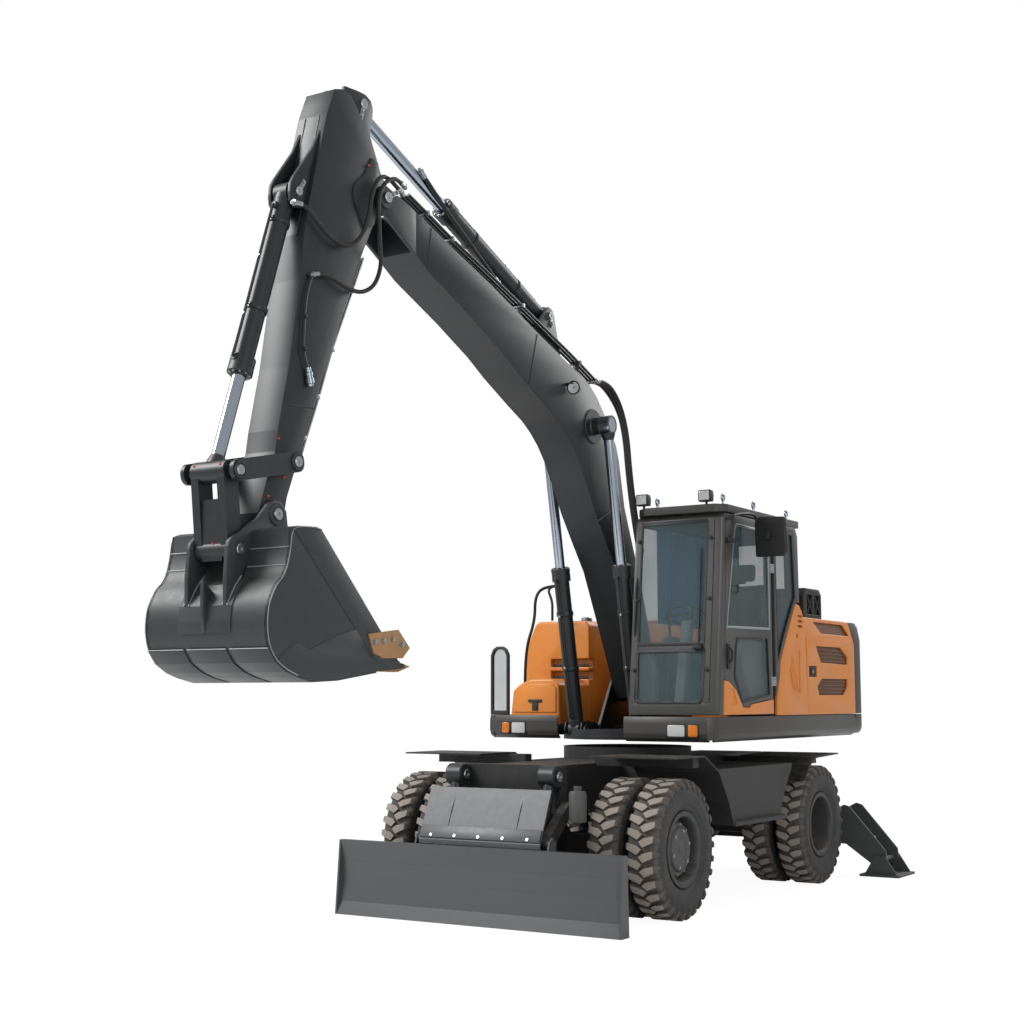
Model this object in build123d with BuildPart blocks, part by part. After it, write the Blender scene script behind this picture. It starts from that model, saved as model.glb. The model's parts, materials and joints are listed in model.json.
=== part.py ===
from build123d import *
import os
from math import atan2, cos, degrees, hypot, radians, sin

# Wheeled excavator on twin tyres, with a front blade, two rear outriggers, a
# cab on the left, a one-piece boom, an arm and a bucket.
# Millimetres. X forward, Y left, Z up, ground at Z = 0.
# Side outlines are (x, z) pairs counted forward from the slew axis.

REAR_X = -2800          # back of the counterweight
FRONT_X = 5446          # foremost point of the bucket
SLEW_X = -(REAR_X + FRONT_X) / 2    # slew axis, with the origin mid-length

# --- running gear ---
AXLE_X = 1420           # each axle, in front of and behind the slew axis
TYRE_R = 530
TYRE_W = 272
OUTER_TYRE_Y = 1122     # middle of the outer tyre
INNER_TYRE_Y = 790
RIM_R = 254
FLANGE_R = 288
KINGPIN_Y = 560
FRAME_HALF = 330        # half width of the chassis box
FRAME_TOP = 1150
FRAME_BOTTOM = 760

# --- blade linkage ---
BLADE_HALF = 1264
LINK_BACK = (2000, 850)     # upper link's rear pin, (x, z)
LINK_FRONT = (2305, 600)
LOWER_BACK = (1960, 420)    # lower link's rear pin
BLADE_CYL_TOP = (2040, 1080)
BLADE_CYL_FOOT = (2285, 240)
BLADE_CYL_Y = 420

# --- outriggers ---
LEG_PIVOT = (600, 400)      # (y, z)
LEG_PAD = (1500, 155)
LEG_ROD = (1350, 330)
RAM_TOP = (420, 920)
LEG_X = -2420
TIE_EYE = (-2605, 945)       # tie-down eyes, (x, z)
TIE_EYE_R = 27
TIE_EYE_W = 30

# --- digging gear, (x, z) ---
BOOM_FOOT = (-180, 1760)
BOOM_TIP = (3844, 5140)
BOOM_HALF = 165
BOOM_CYL_BASE = (370, 1400)
BOOM_CYL_ROD = (880, 3960)
BOOM_CYL_Y = 300
ARM_CYL_BASE = (1500, 4800)
ARM_CYL_ROD = (4010, 5780)
BUCKET_CYL_BASE = (4703, 4956)
BUCKET_PIN = (4931, 2804)
ROCKER_PIN = (4797, 3149)
ROCKER_TOP = (5326, 3033)
BUCKET_LINK = (5270, 2560)
BUCKET_HALF = 490

# --- upper structure ---
DECK_BOTTOM = 1315
DECK_TOP = 1520
HALF_W = 1250
DOOR_HINGE = (-400, 1240)   # (x, y), at the door's rear edge
HOOD_TOP = 2410

os.makedirs("parts", exist_ok=True)


def side(y=0):
    """Upright plane at y: local x runs forward from the slew axis, local y up."""
    return Plane(origin=(SLEW_X, y, 0), x_dir=(1, 0, 0), z_dir=(0, -1, 0))


def level(z=0):
    """Flat plane at height z: local x forward from the slew axis, local y left."""
    return Plane(origin=(SLEW_X, 0, z))


def across(x=0):
    """Upright plane across the machine at x: local x left, local y up."""
    return Plane(origin=(SLEW_X + x, 0, 0), x_dir=(0, 1, 0), z_dir=(1, 0, 0))


def outline(plane, points, radius=0):
    """A closed face through the points, with its corners rounded."""
    with BuildSketch(plane) as shape:
        with BuildLine():
            Polyline(*points, close=True)
        make_face()
        if radius:
            fillet(shape.vertices(), radius)
    return shape.sketch


def slab_y(points, y0, y1, radius=0, mode=Mode.ADD):
    """Extrude a side outline from y0 to y1, with y1 the larger."""
    extrude(outline(side(y1), points, radius), amount=y1 - y0, mode=mode)


def slab_z(points, z0, z1, radius=0, mode=Mode.ADD):
    """Extrude a plan outline from z0 up to z1."""
    extrude(outline(level(z0), points, radius), amount=z1 - z0, mode=mode)


def slab_x(points, x0, x1, radius=0, mode=Mode.ADD):
    """Extrude a front outline from x0 forward to x1."""
    extrude(outline(across(x0), points, radius), amount=x1 - x0, mode=mode)


def block(x0, x1, y0, y1, z0, z1, mode=Mode.ADD):
    """A box between two corners."""
    with Locations(level(z0)):
        with Locations(((x0 + x1) / 2, (y0 + y1) / 2, 0)):
            Box(x1 - x0, y1 - y0, z1 - z0, align=(Align.CENTER, Align.CENTER, Align.MIN), mode=mode)


def boss_y(centre, radius, y0, y1, mode=Mode.ADD):
    """A round boss or pin along Y at the (x, z) centre."""
    with Locations(side(y1)):
        with Locations(centre):
            Cylinder(radius, y1 - y0, align=(Align.CENTER, Align.CENTER, Align.MIN), mode=mode)


def boss_x(centre, radius, x0, x1, mode=Mode.ADD):
    """A round boss or pin along X at the (y, z) centre."""
    with Locations(across(x0)):
        with Locations(centre):
            Cylinder(radius, x1 - x0, align=(Align.CENTER, Align.CENTER, Align.MIN), mode=mode)


def boss_z(centre, radius, z0, z1, mode=Mode.ADD):
    """A round boss or pin along Z at the (x, y) centre."""
    with Locations(level(z0)):
        with Locations(centre):
            Cylinder(radius, z1 - z0, align=(Align.CENTER, Align.CENTER, Align.MIN), mode=mode)


def between(plane, start, end, first, last, radius, mode=Mode.ADD):
    """A round bar in the plane on the line from start to end, from first to last along it."""
    turn = degrees(atan2(end[1] - start[1], end[0] - start[0]))
    with Locations(plane):
        with Locations(Location((start[0], start[1], 0), (0, 0, turn))):
            with Locations(Location((first, 0, 0), (0, 90, 0))):
                Cylinder(radius, last - first, align=(Align.CENTER, Align.CENTER, Align.MIN), mode=mode)


def bar_outline(start, end, start_half, end_half, before=0, after=0):
    """Four corners of a tapered bar along the line from start to end."""
    length = hypot(end[0] - start[0], end[1] - start[1])
    ux, uz = (end[0] - start[0]) / length, (end[1] - start[1]) / length
    corners = []
    for point, half, shift in ((start, start_half, -before), (end, end_half, after)):
        near = (point[0] + ux * shift, point[1] + uz * shift)
        corners.append([(near[0] - uz * half, near[1] + ux * half), (near[0] + uz * half, near[1] - ux * half)])
    return [corners[0][0], corners[0][1], corners[1][1], corners[1][0]]


def save(part, name):
    """Label a finished piece and write it as its own node."""
    part.part.label = name
    export_step(part.part, "parts/" + name + ".step")


def ram_barrel(plane, start, end, length, radius, eye_r, eye_w):
    """A cylinder's barrel from its base eye to its gland."""
    between(plane, start, end, 0, length, radius)
    between(plane, start, end, length - 90, length, radius + 14)
    with Locations(plane):
        with Locations((start[0], start[1], 0)):
            Cylinder(eye_r, eye_w)


def ram_rod(plane, start, end, first, radius, eye_r, eye_w):
    """A cylinder's rod from inside the barrel to its eye, with the eye."""
    reach = hypot(end[0] - start[0], end[1] - start[1])
    between(plane, start, end, first, reach, radius)
    with Locations(plane):
        with Locations((end[0], end[1], 0)):
            Cylinder(eye_r, eye_w)


def bore_barrel(plane, start, end, first, length, radius):
    """Hollow a barrel from first to past its mouth, so that the rod slides in it."""
    between(plane, start, end, first, length + 5, radius, mode=Mode.SUBTRACT)


# ---------------------------------------------------------------- undercarriage
with BuildPart() as chassis_frame:
    block(-2200, 1920, -FRAME_HALF, FRAME_HALF, FRAME_BOTTOM, FRAME_TOP)
    block(-760, 760, -498, 498, 900, FRAME_TOP)
    boss_z((0, 0), 560, FRAME_TOP, 1255)
    block(1900, 1965, -485, 485, 800, 1160)
    for s in (-1, 1):
        y0, y1 = sorted((s * 470, s * 490))
        slab_y([(1930, 800), (2040, 800), (2050, 880), (2000, 1000), (1930, 1000)], y0, y1)
        y0, y1 = sorted((s * 470, s * 592))
        boss_y(LINK_BACK, 30, y0, y1)
        for eye in (365, 475):
            slab_y([(1960, 1000), (2090, 1010), (2110, 1080), (2080, 1140), (1960, 1150)],
                   s * eye - 9, s * eye + 9)
        y0, y1 = sorted((s * 356, s * 470))
        boss_y(BLADE_CYL_TOP, 28, y0, y1)
        y0, y1 = sorted((s * 225, s * 245))
        slab_y([(1900, 780), (1900, 370), (2010, 370), (2010, 780)], y0, y1)
        y0, y1 = sorted((s * 225, s * 325))
        boss_y(LOWER_BACK, 28, y0, y1)
        block(1080, 1180, min(s * 330, s * 1200), max(s * 330, s * 1200), 1130, 1209)
        block(-1420, -1320, min(s * 330, s * 1200), max(s * 330, s * 1200), 1080, 1130)
    block(1300, 1540, -200, 200, 722, FRAME_BOTTOM)
    block(-1560, -1280, -260, 260, 732, FRAME_BOTTOM)
save(chassis_frame, "chassis_frame")

with BuildPart() as front_axle:
    block(1340, 1500, -490, 490, 450, 610)
    boss_x((0, 530), 190, 1300, 1540)
    for s in (-1, 1):
        boss_z((AXLE_X, s * KINGPIN_Y), 80, 450, 610)
save(front_axle, "front_axle")

with BuildPart() as rear_axle:
    boss_y((-AXLE_X, 530), 105, -640, 640)
    boss_x((0, 530), 200, -1560, -1280)
save(rear_axle, "rear_axle")

with BuildPart() as drive_train:
    block(-380, 180, -200, 200, 400, 755)
    boss_x((0, 530), 48, 180, 1296)
    boss_x((0, 530), 48, -1276, -380)
save(drive_train, "drive_train")

with BuildPart() as fenders:
    for s in (-1, 1):
        y0, y1 = sorted((s * 500, s * 1250))
        slab_y([(1600, 1210), (1600, 1222), (1060, 1222), (800, 1090), (620, 850), (520, 650),
                (532, 645), (632, 843), (808, 1080), (1064, 1210)], y0, y1)
        slab_y([(-1020, 940), (-1130, 1060), (-1300, 1130), (-1860, 1150), (-1860, 1162), (-1296, 1142),
                (-1122, 1070), (-1010, 948)], y0, y1)
save(fenders, "fenders")

with BuildPart() as side_steps:
    for s in (-1, 1):
        y0, y1 = sorted((s * 525, s * 1180))
        slab_y([(500, 660), (500, 700), (620, 870), (760, 1060), (760, 1100), (-880, 1100), (-880, 1060),
                (-700, 860), (-580, 660)], y0, y1)
        y0, y1 = sorted((s * 1180, s * 1250))
        slab_y([(500, 640), (500, 668), (-600, 668), (-600, 640)], y0, y1)
save(side_steps, "side_steps")

with BuildPart() as outrigger_beam:
    block(-2300, -2200, -FRAME_HALF, FRAME_HALF, 700, 1100)
    for x0 in (-2540, -2340):
        slab_x([(-540, 300), (-640, 340), (-640, 470), (-520, 1000), (520, 1000), (640, 470), (640, 340),
                (540, 300)], x0, x0 + 40)
    block(-2510, -2330, -250, 250, 300, 1000)
    for s in (-1, 1):
        boss_x((s * LEG_PIVOT[0], LEG_PIVOT[1]), 40, -2622, -2222)
        boss_x((s * RAM_TOP[0], RAM_TOP[1]), 24, -2520, -2320)
        slab_y([(-2540, 850), (-2540, 1000), (-2600, 1010), (-2655, 980), (-2655, 920), (-2600, 870)],
               s * 250 - TIE_EYE_W / 2, s * 250 + TIE_EYE_W / 2)
        boss_y(TIE_EYE, TIE_EYE_R, s * 250 - 30, s * 250 + 30, mode=Mode.SUBTRACT)
save(outrigger_beam, "outrigger_beam")

for word, s in (("left", 1), ("right", -1)):
    with BuildPart() as outrigger_leg:
        for x0 in (-2602, -2262):
            slab_x([(s * 520, 400), (s * 545, 330), (s * 620, 310), (s * 1163, 288), (s * 1420, 108),
                    (s * 1510, 95), (s * 1560, 150), (s * 1550, 240), (s * 1205, 640), (s * 1150, 656),
                    (s * 1080, 620), (s * 620, 490), (s * 545, 470)], x0, x0 + 24)
        slab_x([(s * 800, 304), (s * 1163, 288), (s * 1380, 136), (s * 1392, 152), (s * 1170, 308),
                (s * 800, 322)], -2580, -2260)
        boss_x((s * LEG_PIVOT[0], LEG_PIVOT[1]), 41, -2640, -2200, mode=Mode.SUBTRACT)
        boss_x((s * LEG_PAD[0], LEG_PAD[1]), 26, -2640, -2200, mode=Mode.SUBTRACT)
    save(outrigger_leg, "outrigger_leg_" + word)

    with BuildPart() as outrigger_pad:
        block(-2660, -2180, s * LEG_PAD[0] - 190, s * LEG_PAD[0] + 190, 0, 22)
        for x0 in (-2630, -2234):
            slab_x([(s * 1350, 22), (s * 1450, 190), (s * 1550, 190), (s * 1660, 22)], x0, x0 + 20)
        boss_x((s * LEG_PAD[0], LEG_PAD[1]), 25, -2636, -2208)
    save(outrigger_pad, "outrigger_pad_" + word)

    ram_top = (s * RAM_TOP[0], RAM_TOP[1])
    ram_foot = (s * LEG_ROD[0], LEG_ROD[1])
    with BuildPart() as outrigger_barrel:
        ram_barrel(across(LEG_X), ram_top, ram_foot, 600, 46, 50, 90)
        bore_barrel(across(LEG_X), ram_top, ram_foot, 100, 600, 31)
        boss_x(ram_top, 25, LEG_X - 60, LEG_X + 60, mode=Mode.SUBTRACT)
    save(outrigger_barrel, "outrigger_barrel_" + word)

    with BuildPart() as outrigger_rod:
        ram_rod(across(LEG_X), ram_top, ram_foot, 500, 30, 45, 80)
    save(outrigger_rod, "outrigger_rod_" + word)

# ---------------------------------------------------------------- steering and wheels
for word, s in (("left", 1), ("right", -1)):
    with BuildPart() as knuckle:
        for z0 in (405, 614):
            block(1340, 1500, min(s * 490, s * 670), max(s * 490, s * 670), z0, z0 + 41)
        y0, y1 = sorted((s * 646, s * 700))
        boss_y((AXLE_X, TYRE_R), 150, y0, y1)
    save(knuckle, "knuckle_" + word)

for end, x in (("front", AXLE_X), ("rear", -AXLE_X)):
    for word, s in (("left", 1), ("right", -1)):
        with BuildPart() as tyres:
            for mid in (OUTER_TYRE_Y, INNER_TYRE_Y):
                with BuildSketch(Plane.YZ.offset(SLEW_X + x)) as section:
                    with BuildLine():
                        Polyline((s * mid - 95, TYRE_R + 263), (s * mid - TYRE_W / 2, TYRE_R + 380),
                                 (s * mid - 125, TYRE_R + 500), (s * mid - 112, TYRE_R + TYRE_R),
                                 (s * mid + 112, TYRE_R + TYRE_R), (s * mid + 125, TYRE_R + 500),
                                 (s * mid + TYRE_W / 2, TYRE_R + 380), (s * mid + 95, TYRE_R + 263),
                                 close=True)
                    make_face()
                revolve(section.sketch, axis=Axis((SLEW_X + x, 0, TYRE_R), (0, 1, 0)))
        save(tyres, "tyres_" + end + "_" + word)

        with BuildPart() as rim:
            with BuildSketch(Plane.YZ.offset(SLEW_X + x)) as section:
                with BuildLine():
                    Polyline((s * 677, TYRE_R + 238), (s * 1235, TYRE_R + 238), (s * 1235, TYRE_R + 288),
                             (s * 1228, TYRE_R + 288), (s * 1228, TYRE_R + 262), (s * 1016, TYRE_R + 262),
                             (s * 1016, TYRE_R + 288), (s * 896, TYRE_R + 288), (s * 896, TYRE_R + 262),
                             (s * 684, TYRE_R + 262), (s * 684, TYRE_R + 288), (s * 677, TYRE_R + 288),
                             close=True)
                make_face()
            revolve(section.sketch, axis=Axis((SLEW_X + x, 0, TYRE_R), (0, 1, 0)))
            y0, y1 = sorted((s * 940, s * 960))
            boss_y((x, TYRE_R), 240, y0, y1)
            y0, y1 = sorted((s * 706, s * 1130))
            boss_y((x, TYRE_R), 165, y0, y1)
        save(rim, "rims_" + end + "_" + word)

# ---------------------------------------------------------------- blade
with BuildPart() as upper_links:
    for s in (-1, 1):
        y0, y1 = sorted((s * 500, s * 580))
        slab_y(bar_outline(LINK_BACK, LINK_FRONT, 45, 45, 45, 45), y0, y1, radius=40)
        boss_y(LINK_BACK, 31, y0, y1, mode=Mode.SUBTRACT)
        boss_y(LINK_FRONT, 31, y0, y1, mode=Mode.SUBTRACT)
save(upper_links, "blade_upper_links")

LOWER_FRONT = (LOWER_BACK[0] + LINK_FRONT[0] - LINK_BACK[0], LOWER_BACK[1] + LINK_FRONT[1] - LINK_BACK[1])
with BuildPart() as lower_links:
    for s in (-1, 1):
        y0, y1 = sorted((s * 250, s * 320))
        slab_y(bar_outline(LOWER_BACK, LOWER_FRONT, 50, 50, 50, 50), y0, y1, radius=45)
        boss_y(LOWER_BACK, 29, y0, y1, mode=Mode.SUBTRACT)
        boss_y(LOWER_FRONT, 29, y0, y1, mode=Mode.SUBTRACT)
save(lower_links, "blade_lower_links")

with BuildPart() as blade:
    slab_y([(2400, 567), (2455, 567), (2430, 400), (2430, 260), (2460, 100), (2500, 0), (2480, 0),
            (2440, 90), (2400, 250), (2390, 400)], -BLADE_HALF, BLADE_HALF)
    for s in (-1, 1):
        for y in (487, 593):
            slab_y([(2420, 100), (2385, 520), (2350, 625), (2305, 655), (2258, 615), (2265, 540), (2330, 100)],
                   s * y - 7, s * y + 7)
        y0, y1 = sorted((s * 480, s * 600))
        boss_y(LINK_FRONT, 30, y0, y1)
        for y in (360, 480):
            slab_y([(2420, 100), (2400, 400), (2300, 300), (2230, 270), (2235, 200), (2330, 100)],
                   s * y - 8, s * y + 8)
        for y in (240, 330):
            slab_y([(2460, 60), (2410, 240), (2300, 230), (2225, 200), (2225, 130), (2300, 100)],
                   s * y - 7, s * y + 7)
        y0, y1 = sorted((s * 234, s * 336))
        boss_y(LOWER_FRONT, 28, y0, y1)
        y0, y1 = sorted((s * BLADE_HALF, s * (BLADE_HALF - 16)))
        slab_y([(2400, 567), (2455, 567), (2500, 0), (2380, 0)], y0, y1)
save(blade, "blade")

with BuildPart() as blade_guard:
    slab_y([(2215, 985), (2225, 990), (2394, 604), (2394, 570), (2382, 570), (2382, 600)], -540, 540)
    for s in (-1, 1):
        y0, y1 = sorted((s * 300, s * 312))
        slab_y([(2222, 980), (2382, 604), (2382, 640), (2290, 860)], y0, y1)
save(blade_guard, "blade_guard")

with BuildPart() as blade_barrels:
    for s in (-1, 1):
        plane = side(s * BLADE_CYL_Y)
        ram_barrel(plane, BLADE_CYL_TOP, BLADE_CYL_FOOT, 480, 45, 62, 86)
        bore_barrel(plane, BLADE_CYL_TOP, BLADE_CYL_FOOT, 90, 480, 31)
        boss_y(BLADE_CYL_TOP, 29, s * BLADE_CYL_Y - 60, s * BLADE_CYL_Y + 60, mode=Mode.SUBTRACT)
save(blade_barrels, "blade_cylinder_barrels")

with BuildPart() as blade_rods:
    for s in (-1, 1):
        ram_rod(side(s * BLADE_CYL_Y), BLADE_CYL_TOP, BLADE_CYL_FOOT, 380, 30, 42, 80)
save(blade_rods, "blade_cylinder_rods")

# ---------------------------------------------------------------- upper structure
with BuildPart() as upper_frame:
    slab_z([(880, 430), (880, 1180), (810, 1250), (-2000, 1250), (-2000, -1250), (340, -1250), (340, -430),
            (160, -390), (160, 390)], 1400, 1430)
    slab_z([(880, 430), (880, 1180), (810, 1250), (-2000, 1250), (-2000, 1235), (800, 1235), (865, 1170),
            (865, 430)], DECK_BOTTOM, DECK_TOP)
    slab_z([(-2000, -1250), (340, -1250), (340, -430), (325, -430), (325, -1235), (-2000, -1235)],
           DECK_BOTTOM, DECK_TOP)
    boss_z((0, 0), 540, 1262, 1322)
    boss_z((0, 0), 360, 1322, 1400)
    for s in (-1, 1):
        y0, y1 = sorted((s * 178, s * 208))
        slab_y([(160, 1330), (160, 1430), (-60, 1800), (-120, 1890), (-260, 1890), (-420, 1700), (-1150, 1560),
                (-1150, 1330)], y0, y1)
        for y in (222, 378):
            slab_y([(100, 1330), (340, 1330), (450, 1390), (430, 1460), (340, 1480), (100, 1440)],
                   s * y - 8, s * y + 8)
        boss_y(BOOM_CYL_BASE, 40, s * BOOM_CYL_Y - 88, s * BOOM_CYL_Y + 88)
    boss_y(BOOM_FOOT, 45, -230, 230)
save(upper_frame, "upper_frame")

with BuildPart() as counterweight:
    with BuildSketch(level(1345)) as plan:
        with BuildLine():
            Polyline((-2002, -1250), (-2420, -1250))
            ThreePointArc((-2420, -1250), (REAR_X, 0), (-2420, 1250))
            Polyline((-2420, 1250), (-2002, 1250), (-2002, -1250))
        make_face()
    extrude(plan.sketch, amount=900)
save(counterweight, "counterweight")

with BuildPart() as engine_block:
    block(-1900, -1300, -450, 450, 1540, 2150)
save(engine_block, "engine_block")

with BuildPart() as engine_hood:
    block(-2000, -1170, -1225, 1225, 2370, 2400)
    block(-1200, -1170, -1225, 1225, 1520, 2370)
save(engine_hood, "engine_hood")

with BuildPart() as side_doors:
    for s in (-1, 1):
        y0, y1 = sorted((s * 1225, s * 1250))
        block(-2000, -1170, y0, y1, 1522, 2400)
save(side_doors, "side_doors")

with BuildPart() as right_tank:
    block(-1160, -250, -1230, -430, 1432, 2100)
save(right_tank, "right_tank")

with BuildPart() as toolbox:
    block(-245, 320, -1230, -430, 1432, 1740)
save(toolbox, "toolbox")

CAB = [(790, 1532), (790, 1650), (770, 2050), (620, 3150), (560, 3180), (-960, 3180), (-1010, 3120),
       (-1010, 1532)]
with BuildPart() as cab_shell:
    slab_y(CAB, 430, 1230)
    slab_y([(760, 1562), (755, 1650), (735, 2050), (592, 3120), (550, 3150), (-950, 3150), (-980, 3110),
            (-980, 1562)], 455, 1205, mode=Mode.SUBTRACT)
    slab_y([(520, 1620), (540, 2050), (430, 3060), (-420, 3060), (-420, 1620)], 1200, 1240, mode=Mode.SUBTRACT)
    slab_y([(-500, 2150), (-500, 3060), (-900, 3060), (-900, 2150)], 420, 1240, mode=Mode.SUBTRACT)
    slab_y([(600, 2150), (500, 3060), (-420, 3060), (-420, 2150)], 420, 460, mode=Mode.SUBTRACT)
    block(540, 800, 500, 1160, 1950, 3080, mode=Mode.SUBTRACT)
    block(-1020, -970, 500, 1160, 2250, 3060, mode=Mode.SUBTRACT)
save(cab_shell, "cab_shell")

with BuildPart() as cab_roof:
    slab_y([(640, 3184), (600, 3230), (500, 3258), (-900, 3258), (-1000, 3220), (-1010, 3184)], 425, 1235)
save(cab_roof, "cab_roof")

with BuildPart() as cab_glass:
    slab_y([(-503, 2153), (-503, 3057), (-897, 3057), (-897, 2153)], 1214, 1220)
    slab_y([(-503, 2153), (-503, 3057), (-897, 3057), (-897, 2153)], 440, 446)
    slab_y([(595, 2153), (497, 3057), (-417, 3057), (-417, 2153)], 440, 446)
    block(-998, -992, 503, 1157, 2253, 3057)
    slab_y([(758, 2062), (764, 2062), (625, 3075), (619, 3075)], 503, 1157)
save(cab_glass, "cab_glass")

with BuildPart() as cab_door:
    slab_y([(516, 1624), (536, 2050), (426, 3056), (-416, 3056), (-416, 1624)], 1206, 1230)
    slab_y([(480, 2120), (385, 3010), (-370, 3010), (-370, 2120)], 1200, 1240, mode=Mode.SUBTRACT)
    for z0 in (1775, 2752):
        boss_z(DOOR_HINGE, 12, z0, z0 + 80)
save(cab_door, "cab_door")

with BuildPart() as cab_door_glass:
    slab_y([(477, 2123), (382, 3007), (-367, 3007), (-367, 2123)], 1214, 1220)
save(cab_door_glass, "cab_door_glass")

with BuildPart() as seat:
    block(-560, -60, 590, 1070, 1960, 2080)
    slab_y([(-480, 2080), (-600, 2080), (-720, 2760), (-600, 2760)], 590, 1070)
    block(-460, -160, 680, 980, 1562, 1960)
save(seat, "seat")

with BuildPart() as controls:
    block(300, 360, 800, 860, 1562, 2150)
    block(-400, 80, 470, 560, 1562, 2120)
save(controls, "controls")

with BuildPart() as rails_and_mirrors:
    boss_z((300, -1200), 14, 1740, 2500)
    block(290, 330, -1210, -1050, 2350, 2600)
save(rails_and_mirrors, "rails_and_mirrors")

# ---------------------------------------------------------------- boom, arm and bucket
with BuildPart() as boom:
    slab_y([(3420, 5155), (3080, 4990), (2010, 4640), (1320, 4450), (990, 4310), (730, 4090), (480, 3820),
            (420, 3490), (370, 3280), (80, 2700), (-300, 1820), (-180, 1640), (-60, 1680), (250, 2240),
            (520, 2760), (750, 2930), (920, 3210), (1110, 3500), (1360, 3760), (1670, 3960), (2230, 4200),
            (3280, 4730), (3450, 4810)], -BOOM_HALF, BOOM_HALF)
    for s in (-1, 1):
        y0, y1 = sorted((s * 141, s * BOOM_HALF))
        slab_y([(3400, 5145), (3740, 5245), (3860, 5250), (3930, 5180), (3930, 5080), (3850, 4980),
                (3400, 4790)], y0, y1)
        y0, y1 = sorted((s * BOOM_HALF, s * 235))
        boss_y(BOOM_CYL_ROD, 60, y0, y1)
        slab_y([(1300, 4440), (1480, 4880), (1560, 4860), (1760, 4560)], s * 92 - 12, s * 92 + 12)
    boss_y(BOOM_TIP, 45, -190, 190)
    boss_y(ARM_CYL_BASE, 38, -115, 115)
    boss_y(BOOM_FOOT, 46, -200, 200, mode=Mode.SUBTRACT)
save(boom, "boom")

with BuildPart() as boom_barrels:
    for s in (-1, 1):
        plane = side(s * BOOM_CYL_Y)
        ram_barrel(plane, BOOM_CYL_BASE, BOOM_CYL_ROD, 1400, 66, 72, 100)
        bore_barrel(plane, BOOM_CYL_BASE, BOOM_CYL_ROD, 150, 1400, 44)
        boss_y(BOOM_CYL_BASE, 41, s * BOOM_CYL_Y - 90, s * BOOM_CYL_Y + 90, mode=Mode.SUBTRACT)
save(boom_barrels, "boom_cylinder_barrels")

with BuildPart() as boom_rods:
    for s in (-1, 1):
        ram_rod(side(s * BOOM_CYL_Y), BOOM_CYL_BASE, BOOM_CYL_ROD, 1080, 43, 80, 100)
save(boom_rods, "boom_cylinder_rods")

with BuildPart() as arm_barrel:
    ram_barrel(side(), ARM_CYL_BASE, ARM_CYL_ROD, 1500, 72, 80, 120)
    bore_barrel(side(), ARM_CYL_BASE, ARM_CYL_ROD, 150, 1500, 48)
    boss_y(ARM_CYL_BASE, 39, -90, 90, mode=Mode.SUBTRACT)
save(arm_barrel, "arm_cylinder_barrel")

with BuildPart() as arm_rod:
    ram_rod(side(), ARM_CYL_BASE, ARM_CYL_ROD, 1060, 47, 80, 110)
save(arm_rod, "arm_cylinder_rod")

with BuildPart() as arm:
    slab_y([(3700, 5050), (3830, 4760), (4790, 2760), (5010, 2780), (4960, 3200), (4680, 4560), (4600, 4800),
            (4600, 5060), (4500, 5230), (4230, 5330), (3860, 5330), (3720, 5200)], -130, 130)
    for s in (-1, 1):
        y0, y1 = sorted((s * 85, s * 130))
        slab_y([(3860, 5320), (3940, 5830), (4080, 5850), (4560, 5250), (4230, 5300)], y0, y1)
        y0, y1 = sorted((s * 85, s * 130))
        slab_y([(4560, 5240), (4840, 5060), (4800, 4900), (4600, 4640)], y0, y1)
    boss_y(BOOM_TIP, 46, -150, 150, mode=Mode.SUBTRACT)
    boss_y(BUCKET_CYL_BASE, 30, -110, 110)
    boss_y(ROCKER_PIN, 34, -220, 220)
    boss_y(BUCKET_PIN, 41, -150, 150, mode=Mode.SUBTRACT)
save(arm, "arm")

with BuildPart() as bucket_barrel:
    ram_barrel(side(), BUCKET_CYL_BASE, ROCKER_TOP, 1330, 66, 70, 110)
    bore_barrel(side(), BUCKET_CYL_BASE, ROCKER_TOP, 150, 1330, 44)
    boss_y(BUCKET_CYL_BASE, 31, -90, 90, mode=Mode.SUBTRACT)
save(bucket_barrel, "bucket_cylinder_barrel")

with BuildPart() as bucket_rod:
    ram_rod(side(), BUCKET_CYL_BASE, ROCKER_TOP, 900, 43, 62, 90)
save(bucket_rod, "bucket_cylinder_rod")

with BuildPart() as rocker:
    for s in (-1, 1):
        y0, y1 = sorted((s * 186, s * 214))
        slab_y(bar_outline(ROCKER_PIN, ROCKER_TOP, 66, 66, 66, 66), y0, y1, radius=60)
        boss_y(ROCKER_PIN, 35, y0, y1, mode=Mode.SUBTRACT)
        y0, y1 = sorted((s * 66, s * 190))
        boss_y(ROCKER_TOP, 36, y0, y1)
save(rocker, "bucket_rocker")

with BuildPart() as bucket_link:
    for s in (-1, 1):
        y0, y1 = sorted((s * 75, s * 135))
        slab_y(bar_outline(ROCKER_TOP, BUCKET_LINK, 62, 62, 62, 62), y0, y1, radius=58)
    slab_y(bar_outline((5307, 2870), BUCKET_LINK, 45, 62, 0, 62), -80, 80)
    boss_y(ROCKER_TOP, 37, -150, 150, mode=Mode.SUBTRACT)
save(bucket_link, "bucket_link")

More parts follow.
